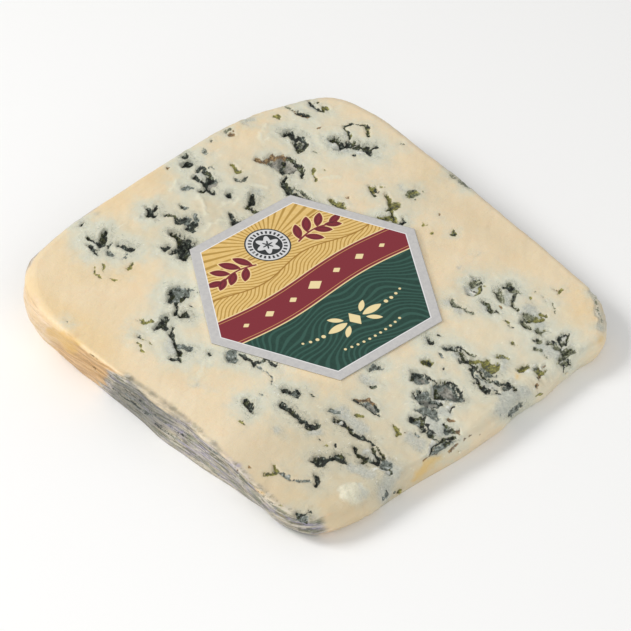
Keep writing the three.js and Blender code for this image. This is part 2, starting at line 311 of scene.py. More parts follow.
BACK_MIDDLE_VEINS = [
    (BLACK, 1.2, 2.0, (-11.2, 41.4), (-10.8, 41.8)),
    (BLACK, 0.9, 0.8, (-10.8, 42.2), (-10.3, 43.7)),
    (BLACK, 0.8, 0.8, (-10.6, 42.2), (-8.5, 42.8)),
    (MIST, 0.2, 0.9, (-13.1, 42.5)),
    (BLACK, 0.8, 0.8, (-9.4, 39.1), (-8.1, 37.9), (-7.8, 36.8), (-6.7, 35.8)),
    (SLATE, 0.6, 1.8, (-6.9, 34.9), (-6.5, 34.9)),
    (BLACK, 0.6, 0.6, (-8.7, 36.2), (-7.4, 35.4)),
    (BLACK, 0.8, 1.1, (-8.2, 33.2), (-6.2, 33.0)),
    (SLATE, 0.5, 0.9, (-4.3, 34.7), (-5.0, 33.3)),
    (BLACK, 0.5, 0.6, (-8.0, 32.6), (-8.0, 31.6)),
    (BLACK, 0.7, 0.7, (-4.6, 39.7), (-4.6, 39.1)),
    (SLATE, 0.3, 0.4, (-4.5, 38.6), (-4.2, 37.5)),
    (BLACK, 0.7, 1.3, (-16.8, 31.2), (-16.0, 31.2)),
    (BLACK, 1.8, 1.3, (-11.4, 33.8), (-11.4, 32.0, 1.5), (-11.9, 30.2, 2.2), (-12.2, 28.4, 3.6)),
    (BLACK, 1.8, 2.2, (-12.2, 28.0, 3.2), (-14.2, 27.2, 2.4), (-15.9, 26.4, 1.4)),
    (BLACK, 1.0, 0.8, (-16.2, 29.1), (-13.4, 29.3, 1.2)),
    (BLACK, 1.3, 1.6, (6.0, 48.8), (7.6, 48.8)),
    (BLACK, 1.0, 0.9, (4.9, 44.6), (4.6, 42.3), (4.5, 40.7), (4.0, 38.8), (4.3, 37.7)),
    (BLACK, 0.6, 0.5, (8.0, 45.8), (8.0, 43.5), (8.1, 41.2), (8.0, 40.0)),
    (BLACK, 0.6, 0.6, (6.8, 45.1), (7.7, 46.0)),
    (MIST, -0.2, 1.8, (6.5, 44.4), (6.5, 43.4)),
    (BLACK, 0.9, 1.0, (5.6, 41.8), (7.2, 41.6)),
    (SLATE, 1.4, 2.2, (5.4, 40.6), (6.2, 40.8)),
    (BLACK, 1.0, 1.1, (2.6, 40.2), (4.0, 38.8)),
    (SLATE, 0.8, 1.4, (7.4, 40.4), (6.6, 39.6)),
    (SLATE, 0.5, 1.5, (0.9, 42.8)),
    (BROWN, 0.4, 0.6, (2.0, 50.3), (2.6, 50.3)),
    (BLACK, 0.7, 1.0, (7.7, 51.3), (8.3, 51.3)),
    (SLATE, 0.3, 0.5, (9.2, 44.2)),
    (SLATE, 0.3, 0.5, (10.1, 43.7)),
    (OLIVE, 0.5, 0.8, (14.3, 41.4), (14.0, 39.0)),
    (SLATE, 0.6, 0.7, (11.8, 37.4), (11.6, 36.6), (12.6, 36.0), (13.4, 36.5)),
    (BLACK, 0.8, 1.0, (5.8, 34.6), (6.6, 35.2)),
    (SLATE, 0.2, 0.6, (12.7, 49.6), (12.7, 48.2)),
    (BLACK, 1.4, 2.0, (8.9, 29.2), (9.5, 29.6)),
    (BLACK, 0.9, 0.9, (9.4, 30.2), (10.4, 31.4)),
    (BLACK, 0.8, 0.8, (8.0, 29.0), (7.0, 28.8)),
    (BLACK, 0.8, 0.9, (7.2, 27.8), (7.4, 26.6)),
    (MIST, 0.2, 1.4, (11.9, 31.0)),
    (BLACK, 0.8, 0.6, (2.0, 29.6), (1.8, 27.8)),
    (BLACK, 1.1, 1.3, (1.5, 27.2), (0.4, 26.4)),
    (SLATE, 0.3, 0.8, (5.0, 25.6)),
    (ASH, 1.2, 1.6, (5.6, 40.6), (6.6, 39.6)),
    (ASH, 1.4, 1.0, (-12.6, 29.0), (-13.2, 27.8)),
    (CHALK, -0.3, 0.6, (-1.8, 33.0), (-0.5, 36.0), (1.0, 39.0)),
    (CHALK, -0.3, 0.5, (-6.0, 29.2), (-3.0, 30.2), (0.0, 29.0)),
    (CHALK, -0.25, 0.5, (2.0, 32.8), (7.0, 32.3)),
    (CHALK, -0.2, 0.4, (-2.6, 44.6), (0.4, 46.6)),
    (CHALK, -0.2, 0.4, (12.6, 33.0), (15.2, 30.6)),
]
FRONT_MIDDLE_VEINS = [
    (BLACK, 0.6, 0.5, (-18.7, -31.0), (-18.2, -33.0), (-18.1, -36.0), (-17.6, -37.9)),
    (BROWN, 0.5, 0.6, (-18.6, -31.2), (-17.0, -32.0), (-15.6, -32.1), (-15.9, -34.8)),
    (SLATE, 0.8, 1.6, (-17.0, -33.2), (-16.9, -35.8)),
    (BLACK, 0.5, 0.4, (-15.9, -34.4), (-16.3, -36.6), (-17.3, -37.8)),
    (OLIVE, 0.5, 1.0, (-17.3, -41.2, 0.3), (-17.8, -42.6), (-18.5, -43.6), (-19.4, -44.7, 0.4)),
    (BROWN, 0.2, 0.4, (-17.5, -44.9)),
    (OLIVE, 0.2, 0.8, (-21.0, -34.4), (-21.0, -35.4)),
    (MIST, 0.0, 3.0, (-17.4, -47.0), (-17.0, -49.6)),
    (SLATE, 0.4, 0.5, (-15.4, -47.0), (-15.1, -48.0)),
    (SLATE, 0.7, 1.2, (-9.2, -26.6), (-7.4, -26.6)),
    (SLATE, 0.4, 0.5, (-8.4, -27.6), (-7.0, -28.0)),
    (MIST, 0.1, 1.6, (-12.0, -27.2), (-11.4, -29.6)),
    (BLACK, 0.6, 0.7, (-12.1, -30.4), (-11.6, -30.6)),
    (CHALK, -0.2, 0.5, (-12.3, -31.2), (-11.3, -31.4)),
    (SLATE, 1.0, 2.6, (-2.8, -34.6), (-2.8, -36.2)),
    (BLACK, 0.8, 0.5, (-4.2, -34.8), (-3.3, -33.7), (-2.0, -34.0), (-1.3, -35.4), (-1.2, -37.4)),
    (SLATE, 1.0, 3.6, (-6.4, -40.0), (-6.0, -42.4, 3.2)),
    (BLACK, 0.9, 0.5, (-8.3, -41.4), (-7.8, -39.2), (-6.8, -38.1), (-5.2, -38.3)),
    (BLACK, 0.5, 0.35, (-7.4, -40.2), (-6.8, -42.4), (-6.6, -44.2)),
    (BLACK, 0.5, 0.35, (-5.6, -39.4), (-5.2, -42.2), (-5.4, -44.4)),
    (SLATE, 1.3, 4.6, (-1.6, -41.2), (-1.4, -43.6, 3.8), (-0.8, -45.4, 2.0)),
    (BLACK, 1.7, 2.4, (-2.4, -40.4, 1.2), (-2.9, -42.0), (-3.4, -43.8, 1.4)),
    (BLACK, 0.9, 0.5, (-1.2, -37.4), (0.0, -39.0), (1.0, -40.8), (1.2, -43.0), (0.2, -45.6)),
    (BLACK, 0.6, 0.3, (0.3, -40.4), (0.4, -42.8), (-0.4, -45.4)),
    (GLINT, -0.1, 0.4, (-1.9, -37.6), (-3.2, -39.6), (-4.0, -41.8), (-4.7, -44.4)),
    (GLINT, -0.1, 0.4, (-5.4, -45.2), (-4.4, -45.9), (-3.2, -45.6)),
    (BLACK, 0.8, 0.4, (-5.2, -46.8), (-4.4, -46.2), (-3.4, -46.5)),
    (SLATE, 0.7, 0.6, (-10.8, -41.6), (-10.0, -42.6), (-9.8, -44.4)),
    (SLATE, 0.5, 2.0, (-9.2, -42.6), (-8.6, -44.6)),
    (SLATE, 1.0, 2.2, (-12.9, -43.8), (-12.8, -44.9)),
    (BLACK, 0.9, 0.6, (-13.9, -43.6), (-12.9, -42.6), (-11.9, -43.2), (-11.3, -44.0)),
    (BLACK, 0.8, 0.8, (-13.9, -47.0, 0.4), (-12.2, -45.8), (-10.4, -43.7, 0.4)),
    (SLATE, 0.8, 1.2, (-13.0, -47.8), (-12.9, -50.4)),
    (BLACK, 0.9, 0.5, (-13.2, -47.2), (-12.8, -49.2), (-12.6, -51.2)),
    (BLACK, 0.5, 0.3, (-11.0, -44.8), (-12.0, -47.4), (-11.9, -49.4)),
    (MIST, 0.3, 3.2, (-10.4, -46.6), (-10.4, -50.0)),
    (SLATE, 0.6, 1.2, (-10.2, -50.6), (-9.2, -49.8)),
    (BLACK, 0.6, 0.5, (-8.8, -49.0), (-8.9, -51.4)),
    (SLATE, 0.6, 0.4, (-9.4, -44.6), (-9.3, -47.4)),
    (SLATE, 0.6, 0.4, (-8.4, -44.4), (-8.4, -47.3)),
    (MIST, 0.0, 2.2, (-7.0, -45.8), (-6.2, -46.4)),
    (BROWN, 0.4, 0.9, (-8.6, -51.6), (-8.2, -52.0)),
    (BROWN, 0.5, 0.8, (-6.9, -48.2), (-6.1, -48.8)),
    (BLACK, 0.8, 0.6, (-18.6, -53.6), (-16.8, -52.6), (-14.6, -52.0), (-12.2, -51.9), (-10.0, -52.3)),
    (SLATE, 0.3, 1.3, (-17.0, -53.7), (-14.0, -53.2), (-11.4, -53.2)),
    (BLACK, 0.4, 0.35, (-14.0, -53.6), (-12.4, -52.8), (-10.0, -52.8)),
    (BROWN, 0.5, 0.5, (-20.6, -54.2), (-18.6, -54.1), (-16.6, -54.3)),
    (GLINT, -0.2, 0.4, (-18.9, -52.9), (-16.6, -51.9), (-14.0, -51.4)),
    (BROWN, 0.3, 0.4, (-14.3, -55.8), (-12.6, -55.4), (-10.0, -55.3), (-6.6, -54.4)),
    (BROWN, 0.2, 0.4, (-5.0, -56.0), (-3.6, -55.8)),
    (AMBER, 0.0, 2.4, (-25.6, -56.0, 1.2), (-22.6, -55.6), (-19.6, -55.6), (-16.6, -55.6, 0.8)),
    (OLIVE, 0.9, 1.5, (1.6, -32.7), (1.8, -34.2)),
    (BLACK, 1.0, 0.8, (1.9, -33.0), (1.8, -34.0)),
    (SLATE, 0.3, 0.5, (5.5, -33.2), (5.3, -34.8)),
    (BLACK, 1.0, 1.1, (6.5, -29.4), (7.2, -28.2)),
    (GLINT, -0.1, 0.3, (6.0, -29.4), (6.6, -28.0)),
    (BLACK, 0.4, 0.6, (9.7, -28.9)),
    (BLACK, 0.3, 0.5, (2.7, -37.8)),
    (BLACK, 0.4, 0.7, (7.2, -37.8)),
    (MIST, 0.0, 1.2, (7.8, -36.8), (8.4, -35.6)),
    (SLATE, 0.8, 1.3, (8.2, -32.6), (9.2, -33.6)),
    (BLACK, 1.0, 0.7, (9.0, -32.8), (9.3, -35.0)),
    (BLACK, 0.6, 0.4, (10.2, -34.0), (10.8, -36.8), (11.2, -39.4)),
    (BLACK, 1.3, 1.5, (9.4, -35.6, 0.5), (8.8, -38.2), (8.7, -40.6, 0.8)),
    (BLACK, 0.7, 0.6, (7.0, -41.2), (9.2, -41.3)),
    (OLIVE, 0.9, 0.9, (9.6, -39.4), (10.8, -41.4), (12.3, -42.0)),
    (OLIVE, 0.9, 1.9, (10.9, -42.6), (11.6, -44.8)),
    (SLATE, 0.9, 1.2, (9.4, -42.4), (9.9, -45.6)),
    (BLACK, 0.6, 0.4, (7.2, -41.6), (6.0, -43.4), (4.9, -45.6), (4.7, -48.4), (6.0, -50.4)),
    (BLACK, 1.0, 1.1, (6.3, -43.6, 0.4), (5.3, -46.0), (5.2, -48.2, 0.5)),
    (BLACK, 0.9, 0.6, (8.2, -42.6), (8.4, -45.4), (8.6, -48.8)),
    (MIST, 0.5, 1.8, (7.0, -45.0), (7.0, -48.2)),
    (SLATE, 0.5, 0.4, (7.2, -43.2), (6.9, -46.6)),
    (BLACK, 0.5, 0.4, (6.6, -48.6), (6.4, -51.0)),
    (SLATE, 0.8, 1.4, (8.6, -50.6), (9.6, -50.2)),
    (BLACK, 0.9, 0.8, (8.9, -49.0), (10.1, -50.2), (10.1, -51.8), (9.2, -52.6, 0.4)),
    (MIST, 0.0, 3.6, (3.4, -54.6), (7.0, -52.4), (11.0, -53.6)),
    (SLATE, 0.6, 1.2, (4.3, -57.0), (6.2, -56.2), (8.0, -55.3, 0.6)),
    (SLATE, 0.2, 0.5, (1.2, -56.2), (2.6, -56.0)),
    (ASH, 1.3, 2.4, (-1.4, -42.4), (-0.9, -44.0, 1.4)),
    (ASH, 0.9, 1.4, (-6.6, -40.8), (-6.3, -42.6)),
    (ASH, 0.8, 0.8, (-16.8, -33.6), (-16.7, -35.4)),
    (ASH, 0.8, 0.8, (-2.6, -34.8), (-2.4, -36.0)),
    (OLIVE, 0.6, 0.5, (14.3, -42.9), (15.0, -42.0), (15.8, -42.8), (15.9, -44.3)),
    (SLATE, 0.5, 1.2, (15.1, -43.3)),
    (MIST, 0.0, 1.4, (12.4, -46.2), (14.4, -45.0)),
]
BACK_RIGHT_VEINS = [
    (BROWN, 0.3, 0.7, (20.6, 49.8), (21.6, 48.8)),
    (BROWN, 0.2, 0.5, (22.4, 49.8)),
    (SLATE, 0.3, 0.7, (20.4, 51.0), (22.0, 51.2)),
    (MIST, 0.2, 1.2, (27.0, 50.7), (28.6, 50.3)),
    (SLATE, 0.2, 0.5, (16.6, 51.2)),
    (OLIVE, 0.2, 0.7, (33.6, 47.2), (34.0, 46.6)),
    (BROWN, 0.8, 1.2, (19.9, 38.9), (20.1, 38.3)),
    (BROWN, 0.9, 0.9, (20.6, 37.9), (22.8, 38.2), (24.3, 37.0), (26.0, 35.8)),
    (SLATE, 1.5, 3.0, (21.8, 36.6, 2.0), (22.6, 35.2, 3.4), (23.6, 33.4, 3.4), (23.4, 31.8, 2.6)),
    (BLACK, 1.7, 0.8, (20.9, 32.3), (22.8, 33.8), (24.8, 35.3)),
    (BLACK, 1.2, 0.7, (20.8, 37.0), (21.0, 34.6), (21.2, 32.6)),
    (BLACK, 1.1, 0.7, (26.0, 35.5), (26.2, 33.0), (26.0, 30.6)),
    (BLACK, 0.8, 0.7, (25.7, 30.6), (24.5, 29.2), (23.3, 28.0)),
    (BLACK, 1.0, 0.9, (20.9, 30.9), (19.7, 29.7), (18.4, 27.2, 1.3), (17.5, 25.8)),
    (BLACK, 1.0, 1.0, (17.5, 25.8), (18.2, 22.6, 1.4), (19.2, 20.4), (19.7, 19.2, 0.6)),
    (SLATE, 0.7, 0.7, (19.2, 26.4), (19.8, 23.7), (20.2, 21.6)),
    (OLIVE, 0.3, 0.5, (27.2, 28.2), (25.3, 24.8)),
    (OLIVE, 0.3, 0.4, (28.9, 26.7)),
    (BLACK, 1.2, 1.7, (31.3, 41.3), (32.0, 40.9)),
    (BLACK, 1.0, 1.2, (31.6, 40.2), (31.6, 38.9)),
    (BLACK, 1.0, 1.2, (31.8, 38.6), (33.0, 38.2)),
    (BLACK, 0.9, 0.6, (31.0, 37.8), (30.2, 36.6), (31.2, 35.2), (32.8, 35.8), (32.9, 37.2)),
    (SLATE, 0.6, 1.4, (31.6, 36.6)),
    (BLACK, 0.8, 0.8, (30.3, 36.2), (29.6, 35.0), (30.4, 34.6)),
    (BLACK, 0.7, 0.8, (38.7, 44.8), (38.8, 44.2)),
    (BLACK, 0.8, 0.9, (39.0, 43.0), (39.2, 42.2)),
    (BROWN, 0.4, 0.6, (38.2, 45.2), (38.4, 42.0)),
    (SLATE, 0.3, 0.4, (38.4, 47.7), (38.3, 46.0)),
    (BLACK, 0.7, 0.7, (43.5, 45.7), (43.2, 42.8), (43.8, 41.1)),
    (MIST, 0.1, 1.0, (42.4, 44.6), (42.6, 42.0)),
    (OLIVE, 0.4, 0.7, (44.7, 41.4), (45.6, 40.6)),
    (OLIVE, 0.3, 0.6, (44.5, 43.6)),
    (BLACK, 1.3, 1.7, (38.2, 32.2), (38.2, 31.6)),
    (BLACK, 1.4, 1.5, (37.4, 29.2), (38.1, 29.2)),
    (BLACK, 1.4, 1.7, (39.2, 28.7), (39.7, 28.6)),
    (BLACK, 1.2, 1.3, (40.2, 27.6), (40.9, 27.0)),
    (BLACK, 1.2, 1.3, (42.0, 26.2), (42.5, 25.8)),
    (BLACK, 1.0, 1.2, (41.6, 25.0), (41.4, 23.8), (41.1, 22.4, 0.6)),
    (BLACK, 0.9, 0.8, (41.8, 24.6), (43.0, 24.1), (44.5, 23.3)),
    (BLACK, 0.8, 0.7, (41.0, 29.0), (41.6, 28.4)),
    (MIST, 0.0, 1.8, (36.7, 31.6)),
    (MIST, 0.0, 1.8, (37.8, 27.2)),
    (MIST, 0.0, 1.9, (39.4, 25.3)),
    (BLACK, 0.4, 0.6, (37.8, 25.2)),
    (OLIVE, 0.4, 0.4, (41.3, 29.7), (42.1, 30.6), (42.3, 33.1), (43.5, 34.1), (44.7, 33.8)),
    (BLACK, 0.6, 0.3, (41.5, 30.2), (42.2, 31.4), (42.5, 33.3), (43.6, 34.2), (44.7, 33.8)),
    (BLACK, 0.5, 0.45, (44.7, 33.8), (45.7, 32.8), (46.9, 31.6), (47.1, 29.9)),
    (OLIVE, 0.4, 0.5, (47.1, 29.9), (46.0, 28.7), (45.2, 27.8)),
    (BLACK, 0.4, 0.25, (47.0, 30.0), (46.1, 28.9), (45.3, 28.0)),
    (GLINT, -0.1, 0.5, (36.9, 30.6), (37.0, 28.4)),
    (GLINT, -0.1, 0.5, (39.2, 25.6), (40.2, 24.4)),
    (MIST, 0.1, 1.6, (41.8, 32.0)),
    (BROWN, 0.1, 0.7, (38.5, 37.7)),
    (ASH, 1.5, 2.8, (22.0, 36.4, 1.8), (23.4, 35.8), (24.8, 35.0, 1.6)),
    (ASH, 1.4, 2.2, (24.4, 33.6), (24.6, 31.8)),
    (BLACK, 1.2, 0.9, (37.8, 30.6), (38.8, 29.2), (40.4, 27.8), (42.0, 26.2)),
    (ASH, 1.3, 1.4, (22.2, 34.4), (22.0, 33.4)),
    (CHALK, -0.2, 0.4, (24.6, 42.4), (26.4, 44.6)),
    (CHALK, -0.2, 0.4, (27.6, 45.0), (29.8, 46.6)),
    (CHALK, -0.2, 0.35, (34.8, 33.4), (36.0, 35.6)),
    (CHALK, -0.2, 0.4, (26.6, 24.6), (29.6, 22.4)),
    (SLATE, 0.1, 0.6, (49.1, 20.2)),
    (SLATE, 0.2, 0.6, (32.0, 32.6)),
]
RIGHT_VEINS = [
    (OLIVE, 0.8, 1.3, (23.4, 17.8), (23.4, 14.2)),
    (BLACK, 0.6, 0.6, (23.0, 17.2), (23.1, 14.8)),
    (BROWN, 0.3, 0.6, (26.3, 16.5)),
    (OLIVE, 0.8, 1.6, (33.0, 15.0), (33.0, 13.6)),
    (BLACK, 0.6, 0.5, (32.2, 14.4), (32.0, 12.6)),
    (OLIVE, 0.3, 0.6, (34.9, 13.3)),
    (BLACK, 1.0, 1.1, (27.0, 5.8), (28.4, 6.0, 0.8)),
    (OLIVE, 0.6, 2.0, (27.8, 6.0), (28.8, 5.0)),
    (OLIVE, 0.8, 1.0, (28.3, 3.0), (30.0, 5.0), (31.5, 7.3), (33.3, 9.8), (34.0, 10.8, 0.6)),
    (OLIVE, 0.5, 1.8, (32.3, 7.0), (32.8, 7.0)),
    (BLACK, 0.8, 0.8, (28.3, 3.0), (29.0, 1.8), (30.3, 1.8), (31.1, 2.8, 0.5)),
    (BLACK, 0.8, 0.4, (28.8, 3.9), (30.3, 5.7), (31.6, 7.9)),
    (BLACK, 0.7, 0.45, (33.4, 14.6), (33.6, 13.4)),
    (SLATE, 0.3, 0.7, (37.2, 6.2), (39.4, 6.0)),
    (BLACK, 0.5, 0.3, (37.6, 7.2), (39.0, 7.0)),
    (OLIVE, 0.3, 1.8, (37.4, 6.8), (38.6, 6.8)),
    (SLATE, 0.3, 0.8, (37.0, 7.6), (39.2, 7.4)),
    (SLATE, 0.2, 0.5, (37.3, 5.0)),
    (SLATE, 0.2, 0.5, (40.5, 5.8)),
    (MIST, 0.1, 0.5, (38.3, 10.8), (38.0, 8.0)),
    (OLIVE, 0.1, 0.5, (33.3, -2.1)),
    (OLIVE, 0.1, 0.5, (32.5, -4.5)),
    (BROWN, 0.1, 0.5, (38.1, -2.0)),
    (OLIVE, 0.2, 1.1, (35.6, -8.3), (36.4, -8.2)),
    (BLACK, 0.2, 0.5, (35.6, -8.3), (36.4, -8.3)),
    (MIST, 0.2, 0.6, (29.0, -17.2)),
    (MIST, 0.2, 0.6, (35.6, -17.0)),
    (SLATE, 0.2, 0.9, (50.3, 5.4), (50.3, 0.0)),
]
FRONT_RIGHT_VEINS = [
    (SLATE, 0.6, 0.7, (18.6, -24.6), (20.0, -23.3)),
    (SLATE, 0.6, 0.7, (19.4, -25.0), (20.2, -26.6), (20.8, -28.9)),
    (BLACK, 0.4, 0.3, (19.6, -25.4), (20.3, -27.2)),
    (MIST, 0.0, 1.6, (18.4, -23.4), (18.8, -27.0)),
    (MIST, 0.6, 2.8, (26.0, -23.9), (28.0, -23.7)),
    (SLATE, 0.6, 1.5, (27.0, -22.9), (28.6, -23.4)),
    (OLIVE, 0.6, 0.8, (25.4, -25.0), (27.0, -25.4), (28.6, -24.6)),
    (BLACK, 0.9, 0.4, (24.4, -24.2), (25.4, -25.4), (26.8, -25.9), (28.4, -25.3), (29.2, -24.2),
     (29.0, -21.8)),
    (BLACK, 0.5, 0.3, (26.4, -23.4), (27.0, -25.4)),
    (GLINT, -0.1, 0.4, (25.2, -23.2), (26.2, -24.4)),
    (OLIVE, 0.3, 0.7, (29.6, -25.8)),
    (BLACK, 1.1, 1.0, (24.8, -28.4, 0.4), (24.7, -30.0), (24.3, -32.2)),
    (BLACK, 0.7, 0.6, (24.1, -32.6), (25.2, -33.2)),
    (BROWN, 0.4, 0.6, (26.7, -32.2), (26.5, -33.0)),
    (MIST, 0.0, 1.2, (23.6, -29.4), (23.4, -31.0)),
    (SLATE, 0.8, 1.1, (28.3, -30.8), (29.5, -29.4), (30.4, -28.3)),
    (BLACK, 0.9, 1.2, (32.2, -28.2), (33.2, -29.4)),
    (SLATE, 0.8, 1.5, (32.6, -30.0), (33.2, -28.6)),
    (GLINT, -0.1, 0.4, (31.8, -29.4), (32.6, -30.6)),
    (MIST, 0.3, 1.6, (28.8, -32.4), (31.4, -30.2)),
    (SLATE, 0.7, 0.9, (29.4, -33.0), (31.2, -31.9), (33.2, -31.0), (33.2, -32.4, 0.4)),
    (BLACK, 0.5, 0.35, (29.6, -32.8), (31.6, -31.5)),
    (BLACK, 0.9, 0.8, (29.5, -33.2), (29.4, -35.2)),
    (GLINT, -0.1, 0.5, (28.9, -36.2), (29.4, -36.3)),
    (BLACK, 1.0, 1.1, (28.7, -36.8, 0.6), (28.0, -38.8)),
    (SLATE, 0.8, 1.1, (29.0, -37.4), (29.2, -39.2)),
    (SLATE, 0.9, 1.2, (26.6, -38.4), (26.3, -41.2)),
    (BLACK, 0.8, 0.5, (26.1, -38.6), (26.2, -40.8), (27.0, -41.4)),
    (OLIVE, 0.9, 1.6, (28.2, -39.6), (30.4, -40.7)),
    (BLACK, 0.6, 0.5, (27.6, -39.4), (28.8, -40.6), (30.4, -41.2)),
    (OLIVE, 0.6, 0.9, (31.4, -39.8), (32.0, -40.4)),
    (MIST, 0.0, 2.6, (28.6, -42.2), (31.4, -36.6)),
    (OLIVE, 0.3, 0.9, (23.8, -35.6), (24.0, -36.4)),
    (SLATE, 0.4, 0.5, (23.6, -37.0), (23.4, -38.4)),
    (OLIVE, 0.4, 0.8, (33.8, -34.7)),
    (SLATE, 0.2, 0.5, (35.9, -34.1)),
    (SLATE, 0.2, 0.5, (36.1, -36.5)),
    (SLATE, 0.2, 0.6, (35.5, -38.4)),
    (SLATE, 0.2, 0.3, (34.2, -41.6), (36.2, -39.6)),
    (BROWN, 0.5, 0.7, (39.9, -36.6), (40.1, -37.2)),
    (OLIVE, 0.3, 0.9, (40.0, -38.0), (40.9, -38.0)),
    (OLIVE, 0.3, 0.8, (20.4, -41.6), (20.4, -42.4)),
    (SLATE, 0.8, 1.5, (27.3, -42.8), (27.4, -43.8)),
    (BLACK, 0.6, 0.5, (26.8, -42.4), (26.8, -44.2)),
    (OLIVE, 0.6, 0.7, (28.7, -43.9), (29.0, -44.3)),
    (BLACK, 0.9, 0.8, (24.4, -44.2), (25.3, -44.3)),
    (SLATE, 0.7, 1.4, (25.2, -45.2)),
    (SLATE, 0.5, 0.9, (22.9, -46.3), (23.4, -47.3)),
    (SLATE, 0.3, 0.5, (22.9, -48.6), (22.6, -49.8)),
    (MIST, 0.0, 3.0, (24.4, -47.2), (24.4, -50.4)),
    (SLATE, 0.9, 1.3, (26.8, -47.6), (27.6, -48.4)),
    (BLACK, 0.8, 0.5, (26.1, -47.4), (27.1, -46.9), (28.1, -47.5), (28.1, -48.5)),
    (BLACK, 0.9, 0.7, (28.2, -49.6), (29.2, -48.4), (30.6, -48.0), (31.1, -48.8), (30.2, -49.8),
     (28.7, -50.4)),
    (SLATE, 0.7, 1.2, (28.8, -49.6), (30.2, -48.9)),
    (SLATE, 1.0, 2.0, (26.8, -49.8), (26.4, -51.8), (28.6, -52.2, 1.2)),
    (BLACK, 0.9, 0.6, (26.3, -50.4), (26.9, -51.8), (28.8, -51.9)),
    (OLIVE, 0.5, 0.9, (22.9, -52.2), (23.7, -51.9)),
    (SLATE, 0.9, 2.2, (24.8, -52.8), (24.6, -54.4)),
    (BLACK, 1.0, 0.6, (23.4, -53.2), (24.4, -53.8), (25.6, -53.2), (27.2, -52.6)),
    (BLACK, 0.9, 0.5, (23.4, -54.4), (24.8, -55.0), (26.2, -54.0)),
    (BLACK, 0.6, 0.5, (22.2, -55.7), (23.6, -55.5), (24.9, -55.6)),
    (GLINT, -0.1, 0.4, (24.0, -53.3), (25.2, -52.6)),
    (GLINT, -0.1, 0.3, (29.2, -49.2), (30.4, -48.7)),
    (OLIVE, 0.8, 1.5, (15.8, -48.6), (17.2, -48.7)),
    (BROWN, 0.7, 0.7, (16.0, -48.8), (17.0, -49.2)),
    (GLINT, -0.2, 0.4, (15.0, -49.1), (16.4, -50.0), (17.2, -50.9)),
    (OLIVE, 0.6, 0.6, (17.6, -50.5), (18.2, -51.2), (19.4, -50.8), (19.7, -50.0)),
    (SLATE, 0.3, 1.0, (18.6, -50.4)),
    (BROWN, 0.6, 0.6, (14.2, -54.7), (15.6, -54.1), (17.2, -53.0), (18.8, -52.2), (20.8, -51.0)),
    (BLACK, 0.6, 0.3, (14.4, -54.5), (17.0, -53.0), (18.4, -52.3)),
    (OLIVE, 0.3, 0.6, (17.8, -53.2), (20.4, -51.7)),
    (GLINT, -0.3, 0.4, (13.7, -54.2), (15.4, -53.6), (17.0, -52.4), (18.6, -51.5)),
    (OLIVE, 0.3, 0.6, (12.0, -55.8), (13.6, -55.8)),
    (AMBER, 0.0, 0.3, (34.6, -55.0), (36.4, -53.8)),
    (AMBER, 0.0, 0.8, (12.8, -50.2), (13.6, -49.6)),
    (MIST, 0.2, 1.3, (45.8, -42.4), (44.0, -45.6), (42.2, -48.2)),
    (MIST, 0.2, 1.4, (41.6, -48.8), (40.0, -50.8), (38.8, -52.2)),
    (SLATE, 0.3, 0.35, (45.2, -43.8), (42.6, -47.8), (40.2, -50.8)),
    (GLINT, -0.1, 0.45, (28.8, -50.9), (27.5, -50.2)),
    (GLINT, -0.1, 0.45, (25.9, -53.9), (24.7, -52.5)),
    (GLINT, -0.1, 0.4, (30.0, -49.7), (30.6, -48.4)),
    (MIST, 0.0, 1.2, (24.0, -50.6), (25.0, -51.8)),
    (CHALK, -0.2, 1.0, (27.6, -53.8), (30.6, -52.6)),
]
RIND_MARKS = [
    (AMBER, 0.0, 2.6, (-53.4, 28.6), (-53.4, 25.0), (-54.0, 21.4)),
    (AMBER, 0.0, 1.4, (-51.8, 26.4), (-51.6, 21.6)),
    (BROWN, 0.0, 0.2, (-51.7, 18.6), (-51.7, 14.6)),
    (BROWN, 0.0, 0.2, (-54.2, 17.0), (-54.3, 12.6)),
    (BLACK, 0.0, 0.4, (-55.2, 6.6), (-55.3, 3.0), (-55.2, -1.0), (-55.0, -4.0)),
    (BLACK, 0.0, 0.3, (-53.5, 5.6), (-53.4, 2.0), (-53.2, -3.0), (-53.5, -5.6)),
    (SLATE, 0.0, 0.3, (-54.3, 4.0), (-54.4, 0.0), (-54.4, -5.0)),
    (BLACK, 0.0, 0.25, (-55.2, -7.0), (-55.3, -12.0)),
    (BLACK, 0.0, 0.25, (-53.4, -8.0), (-53.6, -12.0), (-53.3, -15.0)),
    (SLATE, 0.0, 0.3, (-51.9, -20.0), (-51.9, -22.0), (-51.7, -24.6)),
    (OLIVE, 0.0, 0.2, (-51.8, -29.6), (-52.0, -31.0), (-52.4, -34.0), (-52.5, -37.0)),
    (AMBER, 0.0, 0.8, (-52.6, -35.6), (-52.4, -37.2)),
    (BROWN, 0.0, 0.3, (-52.6, -35.8), (-52.4, -37.0)),
    (OLIVE, 0.1, 0.6, (-52.0, -41.6), (-51.8, -42.4)),
    (OLIVE, 0.1, 0.3, (-53.2, -44.6), (-53.0, -47.0)),
]

# For each list of veins: how ragged their edges are, and how much wider they are than their rows say
VEIN_LISTS = [
    (REAR_LEFT_VEINS, 1.0, 0.0),
    (LEFT_VEINS, 1.0, 0.0),
    (FRONT_LEFT_VEINS, 1.0, 0.15),
    (BACK_MIDDLE_VEINS, 1.0, 0.25),
    (FRONT_MIDDLE_VEINS, 1.0, 0.15),
    (BACK_RIGHT_VEINS, 1.0, 0.25),
    (RIGHT_VEINS, 1.0, 0.15),
    (FRONT_RIGHT_VEINS, 1.0, 0.0),
    (RIND_MARKS, 0.35, 0.0),
]


# ---------------------------------------------------------------- the frame of the upper face

